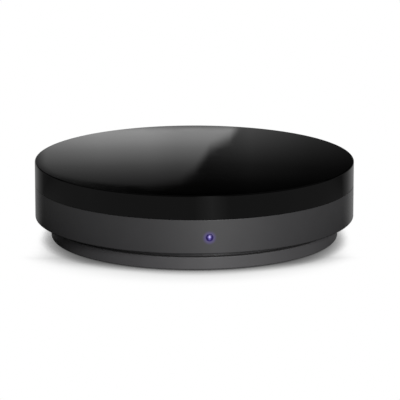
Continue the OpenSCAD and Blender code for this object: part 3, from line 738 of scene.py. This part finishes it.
def slot_material(slot):
    """The finish of a slot, made once."""
    if not MATERIALS:
        MATERIALS.update(slot_materials())
    return MATERIALS[slot]


# Operators, one for each piece or group of like pieces


class AddTopCover(bpy.types.Operator):
    """Adds the glossy cover, with its rounded top edge and its lap over the case"""

    bl_idname = "hub.add_top_cover"
    bl_label = "Top cover"

    def execute(self, context):
        sizes = context.scene.hub_sizes
        inner = sizes.body_radius - sizes.cover_wall
        lap_radius = sizes.tongue_radius + sizes.lap_gap
        lap_height = sizes.seam_height + sizes.tongue_height + sizes.lap_gap
        lower = sizes.seam_height + sizes.seam_gap
        under = sizes.top_height - sizes.cover_wall
        outline = (
            (0, sizes.top_height, 0),
            (sizes.body_radius, sizes.top_height, sizes.top_edge),
            (sizes.body_radius, lower, sizes.cover_edge),
            (lap_radius, lower, 0),
            (lap_radius, lap_height, 0),
            (inner, lap_height, 0),
            (inner, under, sizes.top_edge),
            (0, under, 0),
        )
        piece = make_object("glossy_cover", lathe(outline, sizes.spin_steps))
        finish_piece(piece, CASE, "gloss_cover", "top_cover")
        return {"FINISHED"}


class AddMiddleCase(bpy.types.Operator):
    """Adds the matt case: band, neck and floor, with the holes and the plug pocket cut in"""

    bl_idname = "hub.add_middle_case"
    bl_label = "Middle case"

    def outline(self, sizes):
        """Half section of the case."""
        floor = sizes.band_height - sizes.floor_wall
        ledge = sizes.band_height + sizes.floor_wall
        inner = sizes.body_radius - sizes.band_wall
        neck_inner = sizes.neck_radius - sizes.floor_wall
        tongue = sizes.seam_height + sizes.tongue_height
        neck = box_bottom("middle_case").z
        return (
            (0, floor, 0),
            (neck_inner, floor, 0),
            (neck_inner, neck, 0),
            (sizes.neck_radius, neck, 0),
            (sizes.neck_radius, sizes.band_height, 0),
            (sizes.body_radius, sizes.band_height, sizes.band_edge),
            (sizes.body_radius, sizes.seam_height, sizes.case_edge),
            (sizes.tongue_radius, sizes.seam_height, 0),
            (sizes.tongue_radius, tongue, 0),
            (inner, tongue, 0),
            (inner, ledge, 0),
            (neck_inner, ledge, 0),
            (neck_inner, sizes.band_height, 0),
            (0, sizes.band_height, 0),
        )

    def round_hole(self, sizes, angle, radius):
        """Cutter for a round hole whose mouth is eased."""
        start = -2 * sizes.band_wall
        outline = (
            (0, start, 0),
            (radius, start, 0),
            (radius, -sizes.hole_edge, 0),
            (radius + 2 * sizes.hole_edge, sizes.hole_edge, 0),
            (radius + 2 * sizes.hole_edge, sizes.band_wall, 0),
            (0, sizes.band_wall, 0),
        )
        spot = facing(angle, sizes.body_radius, sizes.lamp_height)
        return place(lathe(outline, HOLE_STEPS), spot)

    def shape_pocket(self, piece, sizes):
        """Adds the plug pocket's walls, and cuts the pocket and the socket's opening."""
        pocket_floor = sizes.body_radius - sizes.pocket_depth
        port_height = box_top("power_socket_shell").z - sizes.shell_rise / 2
        at_port = facing(REAR, pocket_floor, port_height)
        inner = sizes.body_radius - sizes.band_wall
        block = rounded_block(
            sizes.pocket_width + 2 * sizes.pocket_wall,
            sizes.pocket_rise + 2 * sizes.pocket_wall,
            sizes.pocket_corner + sizes.pocket_wall,
            -sizes.port_wall,
            inner - pocket_floor,
        )
        combine(piece, place(block, at_port), "UNION")
        width, rise, corner = sizes.pocket_width, sizes.pocket_rise, sizes.pocket_corner
        pocket = rounded_block(width, rise, corner, 0, 2 * sizes.pocket_depth)
        combine(piece, place(pocket, at_port), "DIFFERENCE")
        port = rounded_block(
            sizes.shell_width + 2 * sizes.port_gap,
            sizes.shell_rise + 2 * sizes.port_gap,
            sizes.port_corner,
            -2 * sizes.port_wall,
            sizes.port_wall,
        )
        combine(piece, place(port, at_port), "DIFFERENCE")

    def ease_mouth(self, piece, sizes):
        """Rounds the edges where the plug pocket meets the outside of the band."""

        def at_mouth(edge):
            """Picks the sharp edges of the band near the pocket."""
            places = [vert.co for vert in edge.verts]
            on_band = all(abs(spot.xy.length - sizes.body_radius) < ON_BAND for spot in places)
            near = all(abs(spot.x) < sizes.pocket_width and spot.y > 0 for spot in places)
            return on_band and near and edge.calc_face_angle(0) > MOUTH_ANGLE

        ease_edges(piece, at_mouth, sizes.pocket_edge, steps=3)

    def execute(self, context):
        sizes = context.scene.hub_sizes
        piece = make_object("charcoal_case", lathe(self.outline(sizes), sizes.spin_steps))
        self.shape_pocket(piece, sizes)
        for angle, radius in (
            (sizes.lamp_angle, sizes.pipe_radius + sizes.pipe_gap),
            (sizes.button_angle, sizes.button_radius + sizes.button_gap),
        ):
            combine(piece, self.round_hole(sizes, angle, radius), "DIFFERENCE")
        self.ease_mouth(piece, sizes)
        finish_piece(piece, CASE, "matt_case", "middle_case")
        return {"FINISHED"}


def foot_places(sizes):
    """Middles of the feet, on the surface that the hub stands on."""
    places = []
    for index in range(FOOT_COUNT):
        angle = FIRST_FOOT + index * math.tau / FOOT_COUNT
        places.append(Vector((math.cos(angle), math.sin(angle), 0)) * sizes.foot_ring)
    return places


class AddBasePlate(bpy.types.Operator):
    """Adds the base, with its rounded edges and the recesses of its feet"""

    bl_idname = "hub.add_base_plate"
    bl_label = "Base plate"

    def execute(self, context):
        sizes = context.scene.hub_sizes
        inner = sizes.base_radius - sizes.base_wall
        floor = sizes.base_bottom + sizes.base_floor
        outline = (
            (0, sizes.base_bottom, 0),
            (sizes.base_radius, sizes.base_bottom, sizes.base_edge),
            (sizes.base_radius, sizes.rim_height, sizes.rim_edge),
            (inner, sizes.rim_height, 0),
            (inner, floor, 0),
            (0, floor, 0),
        )
        piece = make_object("charcoal_base", lathe(outline, sizes.spin_steps))
        radius = sizes.foot_radius + sizes.foot_gap
        recess = (
            (0, 0, 0),
            (radius + sizes.hole_edge, 0, 0),
            (radius + sizes.hole_edge, sizes.base_bottom, 0),
            (radius, sizes.base_bottom + sizes.hole_edge, 0),
            (radius, sizes.foot_height, 0),
            (0, sizes.foot_height, 0),
        )
        for spot in foot_places(sizes):
            cutter = place(lathe(recess, FOOT_STEPS), Matrix.Translation(spot))
            combine(piece, cutter, "DIFFERENCE")
        finish = context.scene.hub_finish
        # Painted light: the base keeps the case's slot but gets a lighter copy of its charcoal
        material = charcoal(
            finish, sizes, "painted lighter spark textured base", finish.lit_base_charcoal, satin=0.0
        )
        finish_piece(piece, CASE, "matt_case", "base_plate", material)
        return {"FINISHED"}


class AddRubberFeet(bpy.types.Operator):
    """Adds the four rubber feet"""

    bl_idname = "hub.add_rubber_feet"
    bl_label = "Rubber feet"

    def execute(self, context):
        sizes = context.scene.hub_sizes
        outline = (
            (0, 0, 0),
            (sizes.foot_radius, 0, sizes.foot_edge),
            (sizes.foot_radius, sizes.foot_height, 0),
            (0, sizes.foot_height, 0),
        )
        feet = [
            place(lathe(outline, FOOT_STEPS), Matrix.Translation(spot))
            for spot in foot_places(sizes)
        ]
        piece = make_object("moulded_feet", join(*feet))
        finish_piece(piece, CASE, "foot_rubber", "rubber_feet")
        return {"FINISHED"}


class AddLightPipe(bpy.types.Operator):
    """Adds the light pipe of the front lamp, with its collar and its domed tip"""

    bl_idname = "hub.add_light_pipe"
    bl_label = "Light pipe"

    def execute(self, context):
        sizes = context.scene.hub_sizes
        nose = sizes.pipe_tip - sizes.pipe_tail
        pad = sizes.body_radius - sizes.band_wall - sizes.pocket_wall - sizes.pipe_tail
        collar_start = pad - sizes.collar_room
        collar_end = pad - sizes.collar_gap
        collar_radius = sizes.pipe_radius + sizes.collar_width
        rise = sizes.pipe_dome - math.sqrt(sizes.pipe_dome**2 - sizes.pipe_radius**2)
        outline = (
            (0, 0, 0),
            (sizes.pipe_radius, 0, 0),
            (sizes.pipe_radius, collar_start, 0),
            (collar_radius, collar_start, 0),
            (collar_radius, collar_end, 0),
            (sizes.pipe_radius, collar_end, 0),
            *cap_outline(sizes.pipe_radius, nose - rise, rise),
        )
        bm = lathe(outline, HOLE_STEPS)
        place(bm, facing(sizes.lamp_angle, sizes.pipe_tail, sizes.lamp_height))
        piece = make_object("lit_pipe", bm)
        finish_piece(piece, CASE, "clear_plastic", "light_pipe")
        return {"FINISHED"}


class AddResetButton(bpy.types.Operator):
    """Adds the reset button, with its flange and the dish for a fingertip"""

    bl_idname = "hub.add_reset_button"
    bl_label = "Reset button"

    def execute(self, context):
        sizes = context.scene.hub_sizes
        nose = sizes.button_tip - sizes.button_root
        flange_end = sizes.stem_length + sizes.flange_wall
        flange_radius = sizes.button_radius + sizes.flange_width
        hollow = sizes.button_radius - sizes.button_edge - sizes.button_rim
        outline = (
            (0, 0, 0),
            (sizes.stem_radius, 0, 0),
            (sizes.stem_radius, sizes.stem_length, 0),
            (flange_radius, sizes.stem_length, 0),
            (flange_radius, flange_end, 0),
            (sizes.button_radius, flange_end, 0),
            (sizes.button_radius, nose, sizes.button_edge),
            *cap_outline(hollow, nose, -sizes.button_dish),
        )
        bm = lathe(outline, HOLE_STEPS)
        place(bm, facing(sizes.button_angle, sizes.button_root, sizes.lamp_height))
        piece = make_object("dished_button", bm)
        finish_piece(piece, "reset_button", "button_plastic", "reset_button")
        return {"FINISHED"}


class AddSocketShell(bpy.types.Operator):
    """Adds the folded metal shell of the power inlet, with its solder tabs"""

    bl_idname = "hub.add_socket_shell"
    bl_label = "Socket shell"

    def execute(self, context):
        sizes = context.scene.hub_sizes
        low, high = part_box("power_socket_shell")
        middle = high.z - sizes.shell_rise / 2
        half_width = sizes.shell_width / 2
        half_rise = sizes.shell_rise / 2
        bm = bmesh.new()
        corners = [
            bm.verts.new((x, y, 0))
            for x, y in (
                (sizes.shell_slope - half_width, -half_rise),
                (half_width - sizes.shell_slope, -half_rise),
                (half_width, sizes.shell_slope - half_rise),
                (half_width, half_rise),
                (-half_width, half_rise),
                (-half_width, sizes.shell_slope - half_rise),
            )
        ]
        bm.faces.new(corners)
        for corner in corners:
            round_corner(bm, corner, sizes.shell_wall)
        outline = next(iter(bm.faces))
        bmesh.ops.inset_region(
            bm,
            faces=[outline],
            thickness=sizes.shell_wall,
            use_boundary=True,
            use_even_offset=True,
        )
        bmesh.ops.delete(bm, geom=[outline], context="FACES")
        extrude(bm, bm.faces[:], high.y - low.y)
        place(bm, facing(REAR, low.y, middle))
        width, sheet = sizes.tab_width, sizes.tab_sheet
        for side in (-1, 1):
            tab = rounded_block(width, width, sheet, low.z, low.z + sheet)
            spot = Vector((side * (high.x - width / 2), (low.y + high.y) / 2, 0))
            join(bm, place(tab, Matrix.Translation(spot)))
        piece = make_object("folded_shell", bm)
        finish_piece(piece, CASE, "tinned_metal", "power_socket_shell")
        return {"FINISHED"}


class FinishInnerParts(bpy.types.Operator):
    """Gives every CAD node its procedural finish, by the record's material slots"""

    bl_idname = "hub.finish_inner_parts"
    bl_label = "Inner parts"

    def execute(self, context):
        slots = {part["node"]: part["material_slot"] for part in frame["record"]["subparts"]}
        for name, node in frame["nodes"].items():
            node.data.materials.clear()
            node.data.materials.append(slot_material(slots[name]))
        return {"FINISHED"}


class AddStudio(bpy.types.Operator):
    """Adds the pale floor, the reflected wall, the soft lights and the camera"""

    bl_idname = "hub.add_studio"
    bl_label = "Studio"

    def execute(self, context):
        studio = context.scene.hub_studio
        add_camera(studio)
        add_world(studio)
        add_floor(studio)
        add_wall(studio)
        add_lights(studio)
        context.scene.view_settings.view_transform = "Standard"
        return {"FINISHED"}


# Camera, surroundings and lights


def add_camera(studio):
    """Camera at the picture's viewing angle, aimed a little above the middle of the base."""
    rise = studio.camera_rise
    back = Vector((0, -math.cos(rise), math.sin(rise)))
    up = Vector((0, math.sin(rise), math.cos(rise)))
    aim = Vector((studio.aim_right, 0, 0)) + up * studio.aim_up
    camera = bpy.data.objects.new("camera", bpy.data.cameras.new("camera"))
    camera.data.lens = studio.lens
    camera.data.clip_start = NEAR_CLIP
    camera.data.clip_end = FAR_CLIP
    camera.location = back * studio.camera_distance
    camera.rotation_euler = (aim - camera.location).to_track_quat("-Z", "Y").to_euler()
    bpy.context.scene.collection.objects.link(camera)
    bpy.context.scene.camera = camera


def add_world(studio):
    """White to the camera, dark to the gloss, soft fill for the rest."""
    world = bpy.data.worlds.new("studio")
    world.use_nodes = True
    bpy.context.scene.world = world
    tree = world.node_tree
    tree.nodes.clear()
    path = add(tree, "LightPath")
    fill = add(tree, "Background", {"Color": (1, 1, 1, 1), "Strength": studio.fill})
    dark = add(tree, "Background", {"Color": (1, 1, 1, 1), "Strength": studio.gloss_fill})
    white = add(tree, "Background", {"Color": (1, 1, 1, 1), "Strength": 1.0})
    glossy = mixed(tree, path.outputs["Is Glossy Ray"], fill, dark)
    seen = mixed(tree, path.outputs["Is Camera Ray"], glossy, white)
    add(tree, "OutputWorld", {"Surface": seen.outputs[0]})


def mixed(tree, factor, first, second):
    """Mixes two shaders."""
    return add(tree, "MixShader", {0: factor, 1: first.outputs[0], 2: second.outputs[0]})


def stage_material(name):
    """An empty material for the floor or a card, with its Object coordinates."""
    material = bpy.data.materials.new(name)
    material.use_nodes = True
    tree = material.node_tree
    tree.nodes.clear()
    spot = add(tree, "TexCoord").outputs["Object"]
    axes = add(tree, "SeparateXYZ", {0: spot})
    return material, tree, axes


# Light and shade of the floor and the wall. Rows of three hold a start, an end, and the tones
# between them as (share of the way, tone). Rows of four hold a start, an end, and the value at
# each of them.

# How much more open the floor counts, from front to middle and from left to right
SHADE_BY_DEPTH = (-32 * MM, 0.0, 1.0, 1.9)
SHADE_BY_SIDE = (-60 * MM, 60 * MM, 0.98, 1.06)
# Where the shadow of the front gives way to that of the sides
FRONT_TO_SIDE = (-50 * MM, -38 * MM, 0.0, 1.0)
# Tone of the floor, by how open it is
FRONT_SHADOW = (
    (0.0, 0.08),
    (0.2, 0.24),
    (0.3, 0.48),
    (0.49, 0.73),
    (0.65, 0.88),
    (0.73, 0.94),
    (0.84, 1.0),
    (1.0, 1.0),
)
SIDE_SHADOW = (
    (0.0, 0.06),
    (0.25, 0.16),
    (0.4, 0.28),
    (0.57, 0.55),
    (0.65, 0.75),
    (0.73, 0.92),
    (0.79, 1.0),
    (1.0, 1.0),
)
# Sheen of the floor in front and beside the hub, as the gloss sees it
FRONT_SHEEN = (-150 * MM, 45 * MM, ((0.0, 0.19), (0.46, 0.18), (0.82, 0.11), (1.0, 0.05)))
# The sheen fades out towards the hub: a painted shadow of the hub in what the gloss sees
SHEEN_SHADED_NEAR_HUB = (60 * MM, 115 * MM, 0.0, 1.0)
SIDE_SHEEN = (
    0.0,
    math.radians(50),
    ((0.0, 0.22), (0.34, 0.21), (0.5, 0.16), (0.64, 0.08), (0.86, 0.0), (1.0, 0.0)),
)
# The bearing of the sheen beside the hub is taken this far out and this far in front
SIDE_SHEEN_OUT = 53 * MM
SIDE_SHEEN_FRONT = 13 * MM
# Factors from left to right on that bearing and on its tone
SIDE_SHEEN_WIDTH = (-60 * MM, 60 * MM, 1.0, 0.85)
SIDE_SHEEN_LEAN = (-60 * MM, 60 * MM, 1.0, 1.25)
# Narrow upright light in front, a little to the right, by its bearing
STRIP_RUN = (0.0, math.radians(20))
# In the floor this light is a painted reflection
FLOOR_STRIP_REFLECTION = 0.155
WALL_STRIP = 0.5
# Bright patch on the wall behind: its light by height, and its two sides
PATCH = (
    76 * MM,
    112 * MM,
    (
        (0.0, 0.4),
        (0.125, 0.45),
        (0.15, 0.92),
        (0.29, 0.68),
        (0.396, 0.455),
        (0.493, 0.325),
        (0.6, 0.19),
        (0.7, 0.115),
        (0.822, 0.055),
        (1.0, 0.03),
    ),
)
PATCH_LEFT = (-66 * MM, -42 * MM, 0.8, 1.0)
PATCH_RIGHT = (-20 * MM, -8 * MM, 1.0, 0.86)
# Upper edge of the bright patch: share of its rise, from left to right
PATCH_EDGE = (
    -30 * MM,
    30 * MM,
    ((0.0, 0.93), (0.39, 0.8), (0.5, 0.68), (0.615, 0.45), (0.76, 0.335), (0.83, 0.2), (1.0, 0.0)),
)
PATCH_RISE = (70 * MM, 115 * MM)
PATCH_BLUR = 4 * MM
# Oval that rounds off the bright patch
OVAL_MIDDLE = (-15.7 * MM, 95 * MM)
OVAL_SIZE = (51.5 * MM, 12.4 * MM)
OVAL_BLUR = (1.05, 0.95)
# Dim rest of the wall behind, by height and from left to right
DIM = (
    80 * MM,
    112 * MM,
    (
        (0.0, 0.2),
        (0.19, 0.13),
        (0.31, 0.09),
        (0.44, 0.055),
        (0.56, 0.03),
        (0.8, 0.009),
        (1.0, 0.001),
    ),
)
DIM_ACROSS = (
    -60 * MM,
    70 * MM,
    ((0.0, 1.0), (0.15, 0.95), (0.37, 0.55), (0.5, 0.35), (0.65, 0.55), (0.85, 0.27), (1.0, 0.14)),
)
DIM_STRENGTH = 1.8
# Where the wall behind begins, and the light of the wall all round, by height
WALL_BEHIND = (200 * MM, 260 * MM)
AROUND = (60 * MM, 150 * MM, ((0.0, 0.1), (0.4, 0.06), (1.0, 0.01)))


def front_strip(tree, axes, strength):
    """Narrow upright light in front, a little to the right."""
    front = times(tree, axes.outputs["Y"], -1.0)
    bearing = maths(tree, "ARCTAN2", axes.outputs["X"], front)
    return track(tree, bearing, *STRIP_RUN, ((0.0, 0.0), (0.5, strength), (1.0, 0.0)))


def distance(tree, first, second):
    """Longest side of a right triangle, from its other two."""
    squares = [maths(tree, "POWER", side, 2.0) for side in (first, second)]
    return maths(tree, "SQRT", plus(tree, *squares))


def floor_shade(tree, side, depth, reach):
    """Contact shadow that the camera sees on the floor."""
    near = add(tree, "AmbientOcclusion", {"Distance": reach}, samples=16)
    open_share = times(
        tree,
        near.outputs["AO"],
        span(tree, depth, *SHADE_BY_DEPTH),
        span(tree, side, *SHADE_BY_SIDE),
    )
    at_side = ramp(tree, open_share, SIDE_SHADOW)
    at_front = ramp(tree, open_share, FRONT_SHADOW)
    return shared(tree, span(tree, depth, *FRONT_TO_SIDE), at_side, at_front)


def floor_sheen(tree, axes):
    """Tone of the floor as the gloss sees it, with a painted shadow near the hub and a painted
    reflection of the upright light in front.
    """
    side = axes.outputs["X"]
    depth = axes.outputs["Y"]
    # Painted shadow: the front sheen is darkened near the hub
    near = span(tree, distance(tree, side, depth), *SHEEN_SHADED_NEAR_HUB)
    front = times(tree, track(tree, depth, *FRONT_SHEEN), near)
    beyond = maths(tree, "SUBTRACT", maths(tree, "ABSOLUTE", side), SIDE_SHEEN_OUT)
    bearing = maths(tree, "ARCTAN2", beyond, plus(tree, depth, SIDE_SHEEN_FRONT))
    bearing = maths(tree, "ABSOLUTE", bearing)
    bearing = times(tree, bearing, span(tree, side, *SIDE_SHEEN_WIDTH))
    beside = times(tree, track(tree, bearing, *SIDE_SHEEN), span(tree, side, *SIDE_SHEEN_LEAN))
    # The floor adds a painted reflection of the upright light in front
    return plus(tree, front, beside, front_strip(tree, axes, FLOOR_STRIP_REFLECTION))


def add_floor(studio):
    """White floor with the hub's soft contact shadow. The gloss sees it darker."""
    bm = bmesh.new()
    bmesh.ops.create_circle(
        bm, cap_ends=True, segments=FLOOR_STEPS, radius=studio.floor_radius
    )
    floor = make_object("floor", bm)
    material, tree, axes = stage_material("pale floor")
    shade = floor_shade(tree, axes.outputs["X"], axes.outputs["Y"], studio.shadow_reach)
    white = add(tree, "Emission", {"Strength": shade})
    sheen = add(tree, "Emission", {"Strength": floor_sheen(tree, axes)})
    paper = add(tree, "BsdfDiffuse", {"Color": (*studio.paper, 1.0)})
    path = add(tree, "LightPath")
    glossy = mixed(tree, path.outputs["Is Glossy Ray"], paper, sheen)
    seen = mixed(tree, path.outputs["Is Camera Ray"], glossy, white)
    add(tree, "OutputMaterial", {"Surface": seen.outputs[0]})
    floor.data.materials.append(material)


def gloss_only(card):
    """Lets only the gloss see a card."""
    card.visible_camera = False
    card.visible_diffuse = False
    card.visible_shadow = False
    card.visible_transmission = False


def patch_shape(tree, across, rise):
    """Share of the bright patch at a place on the wall behind."""
    edge = span(tree, track(tree, across, *PATCH_EDGE), 0.0, 1.0, *PATCH_RISE)
    below = blend(tree, maths(tree, "SUBTRACT", edge, rise), -PATCH_BLUR, PATCH_BLUR)
    sideways, upwards = (
        maths(tree, "DIVIDE", maths(tree, "SUBTRACT", spot, middle), size)
        for spot, middle, size in zip((across, rise), OVAL_MIDDLE, OVAL_SIZE)
    )
    upwards = maths(tree, "MAXIMUM", upwards, 0.0)
    inside = blend(tree, distance(tree, sideways, upwards), *OVAL_BLUR)
    return times(tree, below, inside)


def wall_tone(tree, axes):
    """Tone of the wall: bright patch and dim rest behind, and a faint light all round."""
    across = axes.outputs["X"]
    rise = axes.outputs["Z"]
    lit = times(
        tree,
        track(tree, rise, *PATCH),
        span(tree, across, *PATCH_LEFT),
        span(tree, across, *PATCH_RIGHT),
    )
    dim = times(tree, track(tree, rise, *DIM), track(tree, across, *DIM_ACROSS), DIM_STRENGTH)
    behind = shared(tree, patch_shape(tree, across, rise), lit, dim)
    far = blend(tree, axes.outputs["Y"], *WALL_BEHIND)
    return plus(
        tree,
        shared(tree, far, behind, track(tree, rise, *AROUND)),
        front_strip(tree, axes, WALL_STRIP),
    )


def add_wall(studio):
    """Round wall that only the gloss sees: light near the floor and dark above."""
    bm = bmesh.new()
    bmesh.ops.create_circle(bm, segments=WALL_STEPS, radius=studio.wall_radius)
    made = bmesh.ops.extrude_edge_only(bm, edges=bm.edges[:])
    lifted = [item for item in made["geom"] if isinstance(item, bmesh.types.BMVert)]
    bmesh.ops.translate(bm, verts=lifted, vec=(0, 0, studio.wall_height))
    wall = make_object("reflected_wall", bm)
    material, tree, axes = stage_material("wall light")
    glow = add(tree, "Emission", {"Strength": wall_tone(tree, axes)})
    add(tree, "OutputMaterial", {"Surface": glow.outputs[0]})
    wall.data.materials.append(material)
    gloss_only(wall)


def towards(azimuth, rise, reach):
    """Place of a lamp, from its angle to the right of the front, its height angle and reach."""
    return Vector(
        (
            math.sin(azimuth) * math.cos(rise),
            -math.cos(azimuth) * math.cos(rise),
            math.sin(rise),
        )
    ) * reach


def add_softbox(name, size, spot, energy):
    """Soft light for the matt surfaces. The wall lights the gloss of the cover."""
    lamp = bpy.data.lights.new(name, "AREA")
    lamp.shape = "RECTANGLE"
    lamp.size = size
    lamp.size_y = size
    lamp.energy = energy
    holder = bpy.data.objects.new(name, lamp)
    holder.location = spot
    holder.rotation_euler = (-spot).to_track_quat("-Z", "Y").to_euler()
    holder.visible_camera = False
    bpy.context.scene.collection.objects.link(holder)
    lit = bpy.data.collections.new(name + " lights")
    cover = bpy.data.objects.get("glossy_cover")
    if cover:
        lit.objects.link(cover)
        lit.collection_objects[0].light_linking.link_state = "EXCLUDE"
    holder.light_linking.receiver_collection = lit


def add_lights(studio):
    """Softboxes overhead, in front a little to the right, and behind."""
    reach = studio.lamp_distance
    behind = math.pi
    overhead = towards(behind, studio.overhead_rise, reach)
    key = towards(studio.key_azimuth, studio.key_rise, reach)
    rear = towards(behind, studio.rear_rise, reach)
    add_softbox("overhead", studio.overhead_size, overhead, studio.overhead)
    add_softbox("key", studio.key_size, key, studio.key)
    add_softbox("rear", studio.rear_size, rear, studio.key)


class HubPanel(bpy.types.Panel):
    """Lists the steps that build the hub"""

    bl_idname = "HUB_PT_steps"
    bl_label = "Remote Control Hub"
    bl_space_type = "VIEW_3D"
    bl_region_type = "UI"
    bl_category = "Remote Hub"

    def draw(self, context):
        column = self.layout.column(align=True)
        for step in STEPS:
            column.operator(step.bl_idname)


STEPS = (
    FinishInnerParts,
    AddTopCover,
    AddMiddleCase,
    AddBasePlate,
    AddRubberFeet,
    AddLightPipe,
    AddResetButton,
    AddSocketShell,
    AddStudio,
)
GROUPS = {"hub_sizes": HubSizes, "hub_finish": HubFinish, "hub_studio": HubStudio}


def register():
    """Registers the settings, the operators and the panel."""
    for name, group in GROUPS.items():
        bpy.utils.register_class(group)
        setattr(bpy.types.Scene, name, PointerProperty(type=group))
    for cls in (*STEPS, HubPanel):
        bpy.utils.register_class(cls)


def unregister():
    """Removes everything that register added."""
    for cls in (HubPanel, *reversed(STEPS)):
        bpy.utils.unregister_class(cls)
    for name, group in GROUPS.items():
        delattr(bpy.types.Scene, name)
        bpy.utils.unregister_class(group)


def main():
    """Builds everything in order."""
    register()
    for step in STEPS:
        operator = getattr(bpy.ops.hub, step.bl_idname.split(".")[1])
        operator()


if __name__ == "__main__":
    main()
